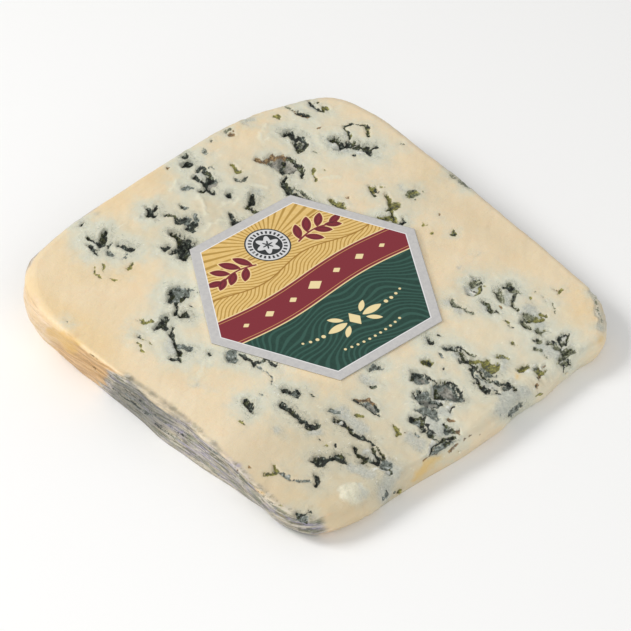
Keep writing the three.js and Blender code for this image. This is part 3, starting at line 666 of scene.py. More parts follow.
def node_points(name):
    """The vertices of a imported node, in millimetres."""
    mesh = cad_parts[name].data
    points = np.empty(len(mesh.vertices) * 3)
    mesh.vertices.foreach_get("co", points)
    return points.reshape(-1, 3) / MM


def solid_tree(name):
    """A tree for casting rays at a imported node, in millimetres."""
    polygons = [tuple(p.vertices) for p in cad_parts[name].data.polygons]
    return BVHTree.FromPolygons([Vector(p) for p in node_points(name)], polygons)


SOLID = solid_tree("cheese_wedge")
label_points = node_points("label")
largest = max(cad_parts["label"].data.polygons, key=lambda p: p.area * (p.normal.z > 0))
FACE_N = np.array(largest.normal)
FACE_U = np.array([1.0, 0.0, 0.0])
FACE_V = np.cross(FACE_N, FACE_U)
label_middle = (label_points.min(0) + label_points.max(0)) / 2
ORIGIN = np.array(SOLID.ray_cast(Vector(label_middle), Vector(-FACE_N))[0])
LABEL_HEIGHTS = np.sort((label_points - ORIGIN) @ FACE_N)[[0, -1]]
LABEL_RADIUS = np.linalg.norm(label_points - label_middle, axis=1).max()
far_corner = label_points[np.argmax(label_points[:, 0])] - label_middle
LABEL_TURN = math.atan2(far_corner @ FACE_V, far_corner @ FACE_U)


def to_face(points):
    """Part millimetres to (u, v, w)."""
    away = points - ORIGIN
    return np.stack([away @ FACE_U, away @ FACE_V, away @ FACE_N], -1)


def in_photo(face):
    """The place (u, v) of the upper face that the photograph shows in line with each (u, v, w)."""
    return face[:, :2] - np.maximum(-face[:, 2:], 0) * VEIN_SLANT


def from_face(u, v, w):
    """(u, v, w) to part millimetres."""
    u, v, w = (np.asarray(x, float)[..., None] for x in (u, v, w))
    return ORIGIN + u * FACE_U + v * FACE_V + w * FACE_N


def plane_height(x, y):
    """The height of the upper face's plane over a place on the floor."""
    return ORIGIN[2] - ((x - ORIGIN[0]) * FACE_N[0] + (y - ORIGIN[1]) * FACE_N[1]) / FACE_N[2]


# ---------------------------------------------------------------- noise

def lattice(cell, seed):
    """A repeatable number from -1 to 1 for each whole-number cell."""
    factors = (374761393, 668265263, 1442695041)
    mixed = sum(cell[..., axis] * factor for axis, factor in enumerate(factors)) + seed * 974634777
    mixed = mixed.astype(np.uint64) & 0xFFFFFFFF
    mixed = ((mixed ^ (mixed >> 13)) * 1274126177) & 0xFFFFFFFF
    mixed = ((mixed ^ (mixed >> 15)) * 2246822519) & 0xFFFFFFFF
    return (mixed ^ (mixed >> 16)) / 2.0**31 - 1


def noise(points, size, seed, octaves=1):
    """Smooth noise from -1 to 1 whose waves are about size long. The size can be one per axis."""
    total = np.zeros(len(points))
    reach = 0.0
    for octave in range(octaves):
        place = points / np.asarray(size, float) * 2**octave + 17.31 * octave
        cell = np.floor(place).astype(np.int64)
        part = place - cell
        part = part * part * part * (part * (part * 6 - 15) + 10)
        value = 0.0
        for corner in np.ndindex(2, 2, 2):
            weight = np.prod(np.where(corner, part, 1 - part), axis=1)
            value = value + weight * lattice(cell + np.array(corner), seed + octave)
        total += value / 2**octave
        reach += 1 / 2**octave
    return total / reach


def smoothstep(low, high, x):
    """0 up to low and 1 from high, and smooth between them; low can be the greater one."""
    share = np.clip((x - low) / (high - low), 0, 1)
    return share * share * (3 - 2 * share)


def bell(*offsets):
    """1 where every offset is 0, and falling smoothly to 0 from there."""
    return np.exp(-sum(np.square(offset) for offset in offsets))


def turn_matrix(angle):
    """A turn round the third axis for places in rows, clockwise."""
    cosine, sine = math.cos(angle), math.sin(angle)
    return np.array([[cosine, -sine, 0], [sine, cosine, 0], [0, 0, 1]])


# ---------------------------------------------------------------- the shape of the slab

def smooth_ring(values, spread):
    """Values round a ring, smoothed over that many steps."""
    steps = np.arange(-3 * spread, 3 * spread + 1)
    weights = np.exp(-0.5 * (steps / spread) ** 2)
    weights /= weights.sum()
    return sum(weight * np.roll(values, -step, axis=0) for weight, step in zip(weights, steps))


def side_hit(place, inward, height, start=12.0):
    """How far inwards from a place beside the slab its solid begins at that height."""
    origin = Vector((*(place - inward * start), height))
    hit = SOLID.ray_cast(origin, Vector((*inward, 0)))[0]
    return start if hit is None else (np.array(hit[:2]) - place) @ inward


def widest_outline(count):
    """The slab's widest outline, as count places evenly spaced round it from its front left corner."""
    casts = 1440
    outside, to_side = 90.0, 52.0
    drops = (1.2, 2.0, 3.0, 4.0, 5.0)
    ring = []
    for turn in np.arange(casts) * 2 * math.pi / casts - math.pi * 3 / 4:
        away = np.array([math.cos(turn), math.sin(turn)])
        far = ORIGIN[:2] + away * outside
        top = plane_height(*(ORIGIN[:2] + away * to_side))
        depths = [side_hit(far, -away, top - drop) for drop in drops]
        ring.append(far - away * min(depths))
    ring = smooth_ring(np.array(ring), 5)
    lengths = np.linalg.norm(np.roll(ring, -1, axis=0) - ring, axis=1)
    along = np.concatenate([[0], np.cumsum(lengths)])
    closed = np.vstack([ring, ring[:1]])
    wanted = np.arange(count) / count * along[-1]
    return np.stack([np.interp(wanted, along, closed[:, axis]) for axis in (0, 1)], 1)


def inward_of(outline):
    """The level direction into the slab at each place of its outline."""
    along = np.roll(outline, -1, axis=0) - np.roll(outline, 1, axis=0)
    along /= np.linalg.norm(along, axis=1)[:, None]
    return np.stack([-along[:, 1], along[:, 0]], 1)


def edge_radii(outline, inward):
    """The radius of the solid's upper edge, which the solid turns in two straight steps."""
    inset = 0.35
    slope = 2.414               # each straight step goes this many times as far one way as the other
    radii = []
    for place, into in zip(outline, inward):
        x, y = place + into * inset
        hit = SOLID.ray_cast(Vector((x, y, 60)), Vector((0, 0, -1)))[0]
        drop = plane_height(x, y) - hit[2]
        radii.append(min(drop + slope * inset, inset + slope * drop))
    return np.clip(smooth_ring(np.array(radii), 4), 0.6, 4.2)


def face_grid(border, cells):
    """A grid over the upper face between its four sides, from the border's cells * 4 places."""
    starts = np.arange(4)[:, None] * cells
    sides = np.take(border, starts + np.arange(cells + 1), axis=0, mode="wrap")
    front, right, back, left = sides[0], sides[1], sides[2][::-1], sides[3][::-1]
    shares = np.arange(cells + 1) / cells
    to_back, to_right = shares[:, None, None], shares[None, :, None]
    across = (1 - to_back) * front[None, :, :] + to_back * back[None, :, :]
    along = (1 - to_right) * left[:, None, :] + to_right * right[:, None, :]
    corners = ((1 - to_back) * (1 - to_right) * front[0] + (1 - to_back) * to_right * front[-1]
               + to_back * (1 - to_right) * back[0] + to_back * to_right * back[-1])
    return across + along - corners


def grid_faces(cells):
    """The quads of a grid with that many cells each way."""
    row = cells + 1
    corner = (np.arange(cells)[:, None] * row + np.arange(cells)).ravel()
    return np.stack([corner, corner + 1, corner + row + 1, corner + row], 1).tolist()


def border_indices(cells):
    """The grid's vertices round its border, anticlockwise from the front left corner."""
    row = cells + 1
    front = np.arange(cells)
    right = np.arange(cells) * row + cells
    back = cells * row + cells - np.arange(cells)
    left = (cells - np.arange(cells)) * row
    return np.concatenate([front, right, back, left])


def edge_rings(outline, inward, radii):
    """Rings of points that round the upper edge over, each with its outward directions."""
    sideways = np.column_stack([-inward, np.zeros(len(inward))])
    rings = []
    for step in range(1, EDGE_STEPS + 1):
        angle = step / EDGE_STEPS * math.pi / 2
        place = outline + inward * radii * (1 - math.sin(angle))
        height = plane_height(place[:, 0], place[:, 1]) - radii[:, 0] * (1 - math.cos(angle))
        directions = FACE_N * math.cos(angle) + sideways * math.sin(angle)
        rings.append((np.column_stack([place, height]), directions))
    return rings


def side_rings(outline, inward, shoulder):
    """Rings of points down the sides from the shoulder's heights, each with its outward directions."""
    sideways = np.column_stack([-inward, np.zeros(len(inward))])
    rings = []
    for level in range(1, SIDE_LEVELS + 1):
        height = shoulder * (1 - level / SIDE_LEVELS)
        insets = [side_hit(place, into, max(z, 0.02)) for place, into, z in zip(outline, inward, height)]
        insets = smooth_ring(np.clip(insets, 0, 8), 2)[:, None]
        rings.append((np.column_stack([outline + inward * insets, height]), sideways))
    return rings


def slab_mesh():
    """Vertices in part millimetres, faces, and each vertex's outward direction, before any relief."""
    outline = widest_outline(FACE_CELLS * 4)
    inward = inward_of(outline)
    radii = edge_radii(outline, inward)[:, None]
    grid = face_grid(outline + inward * radii, FACE_CELLS).reshape(-1, 2)
    points = [np.column_stack([grid, plane_height(grid[:, 0], grid[:, 1])])]
    outward = [np.tile(FACE_N, (len(grid), 1))]
    faces = grid_faces(FACE_CELLS)

    rings = edge_rings(outline, inward, radii)
    shoulder = rings[-1][0][:, 2]
    rings += side_rings(outline[::2], inward[::2], shoulder[::2])
    upper = border_indices(FACE_CELLS)
    total = len(grid)
    for places, directions in rings:
        points.append(places)
        outward.append(directions)
        lower = np.arange(total, total + len(places))
        faces += ring_faces(upper, lower) if len(upper) == len(lower) else joining_faces(upper, lower)
        upper = lower
        total += len(places)

    points.append(np.array([[*ORIGIN[:2], 0.0]]))
    outward.append(np.array([[0.0, 0.0, -1.0]]))
    faces += [(total, b, a) for a, b in zip(upper.tolist(), np.roll(upper, -1).tolist())]
    return np.vstack(points), faces, np.vstack(outward)


def side_swell(points, outward):
    """How far the sides stand out from the solid's, for each vertex, as a vector."""
    amount = np.zeros(len(points))
    for x, y, reach, swell in SIDE_SWELLS:
        amount += swell * bell(np.hypot(points[:, 0] - x, points[:, 1] - y) / reach)
    level = outward * (1, 1, 0) * (1 - np.abs(outward[:, 2:]))
    return level * amount[:, None]


def ring_faces(upper, lower):
    """Quads between two rings of the same count, the upper one first."""
    return np.stack([lower, np.roll(lower, -1), np.roll(upper, -1), upper], 1).tolist()


def joining_faces(upper, lower):
    """Triangles between a ring and one below it with half as many points."""
    faces = []
    for index, (a, b) in enumerate(zip(lower.tolist(), np.roll(lower, -1).tolist())):
        first, middle, last = (int(upper[(2 * index + k) % len(upper)]) for k in range(3))
        faces += [(a, middle, first), (a, b, middle), (b, last, middle)]
    return faces


# ---------------------------------------------------------------- the veins

def stroke_distance(places, points, width):
    """The signed distance from each place to a tapered stroke, negative inside it."""
    corners = [(*p[:2], 0.0) for p in points]
    radii = [(p[2] if len(p) > 2 else width) / 2 for p in points]
    if len(corners) == 1:
        return np.linalg.norm(places - corners[0], axis=1) - radii[0]
    nearest = np.full(len(places), np.inf)
    for a, b, start, end in zip(corners, corners[1:], radii, radii[1:]):
        step = np.subtract(b, a)
        share = np.clip((places - a) @ step / (step @ step), 0, 1)
        away = np.linalg.norm(places - a - share[:, None] * step, axis=1)
        nearest = np.minimum(nearest, away - start - share * (end - start))
    return nearest


def places_near(places, points):
    """The indices of the places that a stroke through these points can reach."""
    margin = 2 * VEINED_REACH
    middle = np.array([p[:2] for p in points])
    low, high = middle.min(0) - margin, middle.max(0) + margin
    return np.nonzero(((places > low) & (places < high)).all(1))[0]


def raise_to(values, near, wanted):
    """Raises the values at some indices to the wanted ones, where they are less."""
    values[near] = np.maximum(values[near], wanted)


def vein_fields(face):
    """The veins' colour fields, pockets and raised parts at each (u, v, w), with ragged edges."""
    places = in_photo(face)
    count = len(places)
    flat = np.column_stack([places, np.zeros(count)])
    warp = np.zeros((count, 3))
    for size, reach in WARP:
        warp[:, :2] += np.stack([noise(flat, size, seed) for seed in (11, 12)], 1) * reach
    fields = {name: np.zeros(count) for name in (*INKS, "halo", "bloom", "veined")}
    pocket, lip, flake = np.zeros(count), np.zeros(count), np.zeros(count)
    rows = [(ragged, wider, *row) for veins, ragged, wider in VEIN_LISTS for row in veins]
    for ragged, wider, ink, depth, width, *points in rows:
        near = places_near(places, points)
        gap = stroke_distance(flat[near] + ragged * warp[near], points, width) - wider / 2
        outside = np.maximum(gap, 0)
        strength = HALO_OF[ink] * min(1.0, 0.1 + 0.8 * width)
        raise_to(fields[ink], near, np.clip(0.5 - gap / (2 * INK_BAND), 0, 1))
        raise_to(fields["halo"], near, strength * bell(outside / HALO_REACH))
        raise_to(fields["bloom"], near, strength * bell(outside / BLOOM_REACH))
        fields["veined"][near] += strength * bell(outside / VEINED_REACH)
        if depth < 0:
            raise_to(flake, near, -depth * smoothstep(FLAKE_WALL, -FLAKE_WALL, gap))
        else:
            raise_to(pocket, near, depth * smoothstep(POCKET_WALL, -POCKET_WALL, gap))
            raise_to(lip, near, depth * LIP_HEIGHT * bell((gap - LIP_PLACE) / LIP_WIDTH))
    fields["veined"] = np.clip(fields["veined"] / VEINED_FULL, 0, 1)
    return fields, pocket, lip * (1 - smoothstep(0, 0.4, pocket)) + flake


# ---------------------------------------------------------------- the relief

def bulge_height(places):
    """The height of the paste's rounded bulges and dips, with fine folds on the bulges."""
    flat = np.column_stack([places, np.zeros(len(places))])
    height = np.zeros(len(places))
    for u, v, reach, rise in BULGES:
        share = bell(np.hypot(places[:, 0] - u, places[:, 1] - v) / reach)
        height += rise * share * (1 + 0.3 * noise(flat, 1.3, 24, 2))
    return height


def under_label(face):
    """1 under the label and 0 away from it."""
    turned = np.arctan2(face[:, 1], face[:, 0]) - LABEL_TURN
    wedge = np.mod(turned, math.pi / 3) - math.pi / 6
    to_side = np.hypot(face[:, 0], face[:, 1]) * np.cos(wedge)
    return 1 - smoothstep(-0.4, 1.6, to_side - LABEL_RADIUS * math.cos(math.pi / 6))


def top_relief(face, covered, lumps, raised, pocket):
    """The relief of the upper face, which is nearly flat where the label covers it."""
    swell = SWELL_HEIGHT * noise(face, 26, 31) + RIPPLE_HEIGHT * noise(face, 11, 32)
    along_smears = face @ turn_matrix(math.radians(SMEAR_TURN))
    smear = SMEAR_HEIGHT * noise(along_smears, (7.0, 1.5, 3.0), 33, 2)
    bulges = bulge_height(in_photo(face))
    bare = (swell + smear + bulges) * (1 - covered) + lumps + raised * (1 - covered) - pocket
    pad = covered * (LABEL_HEIGHTS[0] - 0.03)
    return bare * (1 - covered) + covered * (0.2 * lumps) + pad


def side_relief(points, rind, lumps, pocket):
    """The relief of the sides: layers and dents in the rind, and torn paste elsewhere."""
    strata = STRATA_HEIGHT * noise(points, (9.0, 9.0, 0.9), 41, 2)
    dents = DENT_HEIGHT * noise(points, 3.0, 42, 2)
    torn = TORN_SIDE_HEIGHT * noise(points, (4.5, 4.5, 9), 44, 2)
    crumble = CRUMBLE_HEIGHT * noise(points, 1.6, 45, 2)
    return rind * (strata + dents) + (1 - rind) * (torn + crumble + lumps) - SIDE_POCKET_SHARE * pocket


def dress_slab():
    """The cheese's mesh with its relief, and the fields that its material reads."""
    points, faces, outward = slab_mesh()
    face = to_face(points)
    fields, pocket, raised = vein_fields(face)
    depth_below = np.maximum(-face[:, 2], 0)
    on_top = 1 - smoothstep(0.3, 1.6, depth_below)
    covered = under_label(face) * on_top
    foot = smoothstep(0.0, 1.2, points[:, 2])
    # The rind's colour starts right at the top of the rounded edge: partly painted shade, dulling the edge
    # where it faces the key lamp.
    rind = smoothstep(0.0, 1.0, depth_below + 0.5 * noise(points, (5, 5, 1.5), 43)) * rind_share(face)

    pocket *= (1 - 0.8 * covered) * (1 + 0.45 * noise(face, 0.8, 21, 2))
    raised *= 0.5 + np.abs(noise(face, 0.9, 23))
    torn = np.maximum(fields["halo"], 0.6 * fields["veined"])
    lumps = LUMP_HEIGHT * noise(face, 2.6, 34, 2) + torn * TORN_LUMP_HEIGHT * noise(face, 1.6, 35, 2)
    top = top_relief(face, covered, lumps, raised, pocket)
    side = side_relief(points, rind, lumps, pocket)
    relief = top * on_top + side * ((1 - on_top) * foot)
    relief = np.where(points[:, 2] < 1e-6, 0, relief)
    moved = points + outward * relief[:, None] + side_swell(points, outward)
    moved[:, 2] = np.maximum(moved[:, 2], 0)
    return moved, faces, fields | colour_fields(face, rind), outward


# ---------------------------------------------------------------- where the cheese's colours lie

def colour_fields(face, rind):
    """The fields that tint the paste and the rind, for each vertex."""
    return {
        "rind": np.maximum(rind, left_brim_and_edge_shade(face)),
        "greyness": rind_greyness(face),
        "warmth": warmth(face),
        "shade_and_dullness": shade_and_dullness(face),
        "tan": rind_tan(face),
        "moss": smoothstep(4, 26, face[:, 0]),
    }


def left_brim_and_edge_shade(face):
    """How far the left rind's colour spreads over the edge and onto the upper face: its mould, and painted
    shade that dulls the rounded edge where it faces the key lamp.

    The upper face's grid comes first in the mesh, in rows that start at its left border.
    """
    row = FACE_CELLS + 1
    grid = face[:row * row].reshape(row, row, 3)
    inset = (grid[:, :, 0] - grid[:, :1, 0]).ravel()
    on_grid = smoothstep(2.2, 0.0, inset)
    below = face[row * row:]
    on_edge = smoothstep(-42, -46, below[:, 0]) * smoothstep(1.6, 0.4, -below[:, 2])
    return BRIM_SHARE * smoothstep(14, 6, face[:, 1]) * np.concatenate([on_grid, on_edge])


def rind_share(face):
    """How much of a rind each side has: none at the front, where the cut paste rounds over."""
    seen_u = in_photo(face)[:, 0]
    u, v = face[:, 0], face[:, 1]
    left = smoothstep(-46.5, -50.5, seen_u)
    right = 0.8 * smoothstep(42, 48, u)
    back = smoothstep(44, 50, v)
    return np.maximum.reduce([left, right, back]) * (1 - 0.75 * smoothstep(-50.5, -54, v))


def rind_greyness(face):
    """How grey the rind is: 0 orange and cream, 1 grey with blue-green lines, and darker above 1."""
    seen_v = in_photo(face)[:, 1]
    u, v = face[:, 0], face[:, 1]
    wander = 3 * noise(face, (6, 6, 1.5), 51)
    left = smoothstep(13, 5, seen_v + wander) * smoothstep(-44, -50, u)
    darkest = 0.85 * left * bell((seen_v - 0.5) / 9)
    front = 0.12 * smoothstep(-46, -52, v)
    corner = smoothstep(-27, -40, seen_v) * smoothstep(-44, -50, u)
    right = 0.55 * smoothstep(40, 48, u)
    back = 0.6 * smoothstep(44, 50, v)
    grey = np.maximum.reduce([left, right, back]) * (1 - 0.15 * corner)
    return np.clip(np.maximum(grey, front) + 0.25 * noise(face, 4, 52, 2), 0, 1) + darkest


def rind_tan(face):
    """How orange-tan the left rind is: most where its cream part meets its grey part."""
    seen_v = in_photo(face)[:, 1] + 2 * noise(face, (6, 6, 1.5), 55)
    return smoothstep(-44, -50, face[:, 0]) * smoothstep(29, 22, seen_v) * smoothstep(-2, 10, seen_v)


def shade_and_dullness(face):
    """How much darker and duller the paste is: painted shade, most at the front left, also along the front
    and a little on the right, and a duller paste tone at the back.
    """
    u, v = face[:, 0], face[:, 1]
    front_left = smoothstep(-14, -34, v) * smoothstep(-4, -26, u)
    front = 0.3 * smoothstep(-30, -48, v) * smoothstep(34, 12, u) * (1 - 0.6 * smoothstep(-50, -54, v))
    back = 0.4 * bell((u - 2) / 24, (v - 33) / 12)
    right = 0.32 * bell((u - 40) / 16, (v + 4) / 26)
    return np.clip(np.maximum(front_left, front) + back + right + 0.3 * noise(face, 7, 54, 2), 0, 1)


def warmth(face):
    """How yellow the paste is: along the rind, at the corners and low on the front."""
    u, v = face[:, 0], face[:, 1]
    rear_left = smoothstep(26, 48, v - 0.45 * u)
    left_edge = smoothstep(-42, -50, u) * smoothstep(2, 22, v)
    front_left = bell((u + 45) / 8, (v + 47) / 7)
    front_low = bell((u + 21) / 8) * smoothstep(-52.5, -54.5, v)
    front_right = 0.7 * bell((u - 41) / 10, (v + 46) / 9)
    side = 0.5 * rear_left + 0.9 * left_edge + 0.8 * front_left + front_low + front_right
    return np.clip(side + 0.25 * noise(face, 9, 53, 2), 0, 1)


# ---------------------------------------------------------------- meshes and shaders

def add_mesh(name, points, faces, fields=None, smooth=True):
    """A new mesh object in metres, with the fields as attributes of its points."""
    mesh = bpy.data.meshes.new(name)
    mesh.from_pydata((points * MM).tolist(), [], faces)
    mesh.polygons.foreach_set("use_smooth", [smooth] * len(mesh.polygons))
    for field, values in (fields or {}).items():
        attribute = mesh.attributes.new(field, "FLOAT", "POINT")
        attribute.data.foreach_set("value", np.asarray(values, np.float32))
    mesh.update()
    thing = bpy.data.objects.new(name, mesh)
    bpy.context.scene.collection.objects.link(thing)
    return thing


class Shader:
    """A material's node tree, with short calls for the nodes that this scene uses."""

    def __init__(self, name):
        self.material = bpy.data.materials.new(name)
        self.material.use_nodes = True
        self.nodes = self.material.node_tree.nodes
        self.links = self.material.node_tree.links
        self.bsdf = self.nodes["Principled BSDF"]

    def plug(self, socket, value):
        """Joins another node's output to a socket, or sets it to a number or a colour."""
        if isinstance(value, bpy.types.NodeSocket):
            self.links.new(value, socket)
        elif isinstance(value, tuple) and len(value) == 3 and socket.type == "RGBA":
            socket.default_value = (*value, 1)
        else:
            socket.default_value = value

    def math(self, operation, a, b=0.5):
        node = self.nodes.new("ShaderNodeMath")
        node.operation = operation
        self.plug(node.inputs[0], a)
        self.plug(node.inputs[1], b)
        return node.outputs[0]

    def add(self, a, b):
        return self.math("ADD", a, b)

    def times(self, a, b):
        return self.math("MULTIPLY", a, b)

    def field(self, name):
        node = self.nodes.new("ShaderNodeAttribute")
        node.attribute_name = name
        return node.outputs["Fac"]

    def place(self, size, turn):
        """The part's own coordinates, in waves of that many millimetres."""
        coordinates = self.nodes.new("ShaderNodeTexCoord")
        mapping = self.nodes.new("ShaderNodeMapping")
        self.links.new(coordinates.outputs["Object"], mapping.inputs["Vector"])
        mapping.inputs["Rotation"].default_value = (0, 0, math.radians(turn))
        mapping.inputs["Scale"].default_value = tuple(1 / (length * MM) for length in size)
        return mapping.outputs["Vector"]

    def noise(self, size, detail=3.0, roughness=0.55, turn=0.0):
        """Noise from about -0.5 to 0.5."""
        sizes = size if isinstance(size, tuple) else (size,) * 3
        node = self.nodes.new("ShaderNodeTexNoise")
        self.links.new(self.place(sizes, turn), node.inputs["Vector"])
        node.inputs["Scale"].default_value = 1.0
        node.inputs["Detail"].default_value = detail
        node.inputs["Roughness"].default_value = roughness
        return self.math("SUBTRACT", node.outputs["Fac"], 0.5)

    def step(self, value, low, high):
        """0 up to low and 1 from high, and smooth between them; low can be the greater one."""
        node = self.nodes.new("ShaderNodeMapRange")
        node.interpolation_type = "SMOOTHSTEP"
        self.plug(node.inputs["Value"], value)
        node.inputs["From Min"].default_value = low
        node.inputs["From Max"].default_value = high
        return node.outputs["Result"]

    def mix(self, share, a, b):
        """Colour a with that share of colour b."""
        node = self.nodes.new("ShaderNodeMix")
        node.data_type = "RGBA"
        self.plug(node.inputs[0], share)
        self.plug(node.inputs[6], a)
        self.plug(node.inputs[7], b)
        return node.outputs[2]

    def tint(self, base, mask, share, colour):
        """The base with that share of a colour where the mask is 1."""
        return self.mix(self.times(mask, share), base, colour)

    def bump(self, height, strength, distance):
        node = self.nodes.new("ShaderNodeBump")
        node.inputs["Strength"].default_value = strength
        node.inputs["Distance"].default_value = distance * MM
        self.plug(node.inputs["Height"], height)
        self.links.new(node.outputs["Normal"], self.bsdf.inputs["Normal"])

    def set(self, **values):
        """Sets the finish: a socket's name has underscores for its spaces."""
        for name, value in values.items():
            self.plug(self.bsdf.inputs[name.replace("_", " ")], value)


def srgb(red, green, blue):
    """A colour given as on a screen, 0 to 255, as linear light."""
    parts = [c / 255 for c in (red, green, blue)]
    return tuple(c / 12.92 if c <= 0.04045 else ((c + 0.055) / 1.055) ** 2.4 for c in parts)


# ---------------------------------------------------------------- the cheese's material

class CheeseShader(Shader):
    """The cheese's node tree, with the noises that several of its layers share."""

    def __init__(self):
        super().__init__("cheese")
        self.fine = self.noise(0.42, 4, 0.62)
        self.ragged = self.add(self.times(self.noise(0.9, 4, 0.6), 0.75), self.times(self.fine, 0.25))
        self.crinkle = self.noise(0.8, 5, 0.72, 25)
        self.speckle = self.noise(0.7, 5, 0.7)
        self.patchy = self.noise(3.2, 5, 0.62)
        self.thin = self.noise((8.0, 8.0, 0.62), 4, 0.68)

    def laid(self, base, field, colour, share, soften=0.06, rag=1.0):
        """A colour laid over the base with a ragged edge, where a field is above a half."""
        edge = self.add(self.field(field), self.times(self.ragged, rag))
        return self.tint(base, self.step(edge, 0.5 - soften, 0.5 + soften), share, colour)

    def mottled(self, dark, middle, light, dark_until, light_from):
        """Three tones of crinkled mould."""
        tone = self.mix(self.step(self.crinkle, dark_until - 0.03, dark_until + 0.03), dark, middle)
        return self.mix(self.step(self.crinkle, light_from - 0.03, light_from + 0.04), tone, light)


def plain_paste(tree):
    """Cream, yellower by the warmth field, paler and greyer round the veins, and darkened by painted shade
    at the front and right.
    """
    cream = tree.mix(tree.step(tree.noise(14.0, 3), -0.2, 0.2), srgb(238, 221, 190), srgb(234, 214, 178))
    cream = tree.tint(cream, tree.step(tree.noise(5.0, 4, 0.5), 0.02, 0.12), 0.35, srgb(238, 212, 176))
    cream = tree.tint(cream, tree.field("warmth"), 0.65, srgb(234, 204, 152))
    veined = tree.add(tree.field("veined"), tree.times(tree.patchy, 1.2))
    cream = tree.tint(cream, tree.step(veined, 0.1, 1.0), 0.7, srgb(222, 215, 190))
    halo = tree.add(tree.field("halo"), tree.patchy)
    cream = tree.tint(cream, tree.step(halo, 0.15, 0.85), 0.8, srgb(214, 216, 199))
    bloom = tree.add(tree.field("bloom"), tree.times(tree.noise(1.3, 5, 0.65), 1.3))
    cream = tree.tint(cream, tree.step(bloom, 0.5, 1.1), 0.3, srgb(190, 195, 180))
    # Painted shade: the paste is darkened towards dull brown at the front left, along the front and on the
    # right; at the back the same tint is a duller paste tone.
    return tree.tint(cream, tree.field("shade_and_dullness"), 0.44, srgb(188, 172, 138))


def torn_paste(tree, cream):
    """The paste with pale smears, painted glints near the veins, thin cracks near the veins and fine
    specks.
    """
    torn = tree.step(tree.math("MAXIMUM", tree.field("halo"), tree.field("veined")), 0.3, 0.9)
    smears = tree.times(tree.step(tree.noise((2.4, 1.1, 2.4), 4, 0.66, 34), 0.12, 0.2), torn)
    cream = tree.tint(cream, smears, 0.5, srgb(240, 236, 214))
    near_vein = tree.step(tree.field("halo"), 0.5, 0.9)
    # Painted highlights: small white glints on the paste near the veins.
    painted_glints = tree.times(tree.step(tree.noise(0.7, 3, 0.6), 0.15, 0.19), near_vein)
    cream = tree.tint(cream, painted_glints, 0.8, srgb(246, 245, 236))
    crack = tree.step(tree.math("ABSOLUTE", tree.noise(2.3, 4, 0.7)), 0.014, 0.0)
    crack = tree.times(crack, tree.step(tree.add(tree.field("halo"), tree.patchy), 0.7, 0.95))
    cream = tree.tint(cream, crack, 0.7, srgb(92, 102, 92))
    return tree.tint(cream, tree.step(tree.speckle, 0.16, 0.3), 0.16, srgb(176, 170, 146))


def marked_paste(tree):
    """The paste with its amber stains and chalky patches."""
    chalk = tree.mix(tree.step(tree.speckle, -0.1, 0.2), srgb(234, 231, 208), srgb(220, 217, 194))
    paste = tree.laid(torn_paste(tree, plain_paste(tree)), AMBER, srgb(224, 190, 116), 0.8, 0.55)
    return tree.laid(paste, CHALK, chalk, 0.75, 0.38)


def cream_rind(tree, streak, hair):
    """The cream part of the rind, with tan streaks."""
    cream = tree.mix(tree.step(streak, -0.16, 0.16), srgb(228, 198, 154), srgb(238, 214, 184))
    tan = tree.mix(tree.step(tree.thin, -0.1, 0.1), srgb(184, 138, 82), srgb(226, 186, 132))
    cream = tree.tint(cream, tree.field("tan"), 0.9, tan)
    return tree.tint(cream, tree.step(hair, -0.06, -0.14), 0.4, srgb(180, 150, 104))


def grey_rind(tree, streak, hair):
    """The grey part of the rind: mould with pale and dark streaks and grains."""
    tint = tree.noise((4.0, 4.0, 1.6), 3)
    grain = tree.noise((1.2, 1.2, 0.5), 3, 0.6)
    mould = tree.mix(tree.step(tint, -0.1, 0.1), srgb(142, 145, 122), srgb(162, 156, 178))
    grey = tree.mix(tree.step(streak, -0.1, 0.12), mould, srgb(184, 173, 150))
    grey = tree.tint(grey, tree.step(tree.thin, 0.03, 0.07), 0.75, srgb(212, 204, 188))
    grey = tree.tint(grey, tree.step(tree.thin, -0.04, -0.08), 0.75, srgb(82, 86, 72))
    grey = tree.tint(grey, tree.step(hair, -0.06, -0.1), 0.65, srgb(72, 78, 70))
    grey = tree.tint(grey, tree.step(hair, 0.08, 0.12), 0.5, srgb(216, 210, 200))
    grey = tree.tint(grey, tree.step(grain, 0.1, 0.15), 0.6, srgb(214, 209, 196))
    return tree.tint(grey, tree.step(grain, -0.1, -0.15), 0.6, srgb(66, 70, 60))


def streaked_rind(tree):
    """The rind, whose streaks run along the sides, cream or grey by the greyness field."""
    streak = tree.noise((13.0, 13.0, 1.3), 4, 0.6)
    hair = tree.noise((5.0, 5.0, 0.4), 3, 0.6)
    tone = tree.add(tree.field("greyness"), tree.times(tree.thin, 0.7))
    grey = tree.tint(grey_rind(tree, streak, hair), tree.step(tone, 1.0, 1.5), 0.55, srgb(74, 82, 80))
    rind = tree.mix(tree.step(tone, 0.3, 0.7), cream_rind(tree, streak, hair), grey)
    return tree.laid(rind, AMBER, srgb(224, 184, 112), 0.75, 0.4)


def pale_moulds(tree):
    """The colours of mist and ash, both with thin dark filaments."""
    filament = tree.step(tree.math("ABSOLUTE", tree.noise(1.7, 4, 0.7, 40)), 0.016, 0.002)
    mist = tree.mix(tree.step(tree.speckle, -0.1, 0.2), srgb(188, 193, 186), srgb(214, 214, 203))
    mist = tree.tint(mist, filament, 0.7, srgb(96, 106, 98))
    ash = tree.mix(tree.step(tree.noise(2.2, 3), -0.12, 0.12), srgb(116, 116, 108), srgb(188, 184, 172))
    return mist, tree.tint(ash, filament, 0.8, srgb(44, 48, 42))


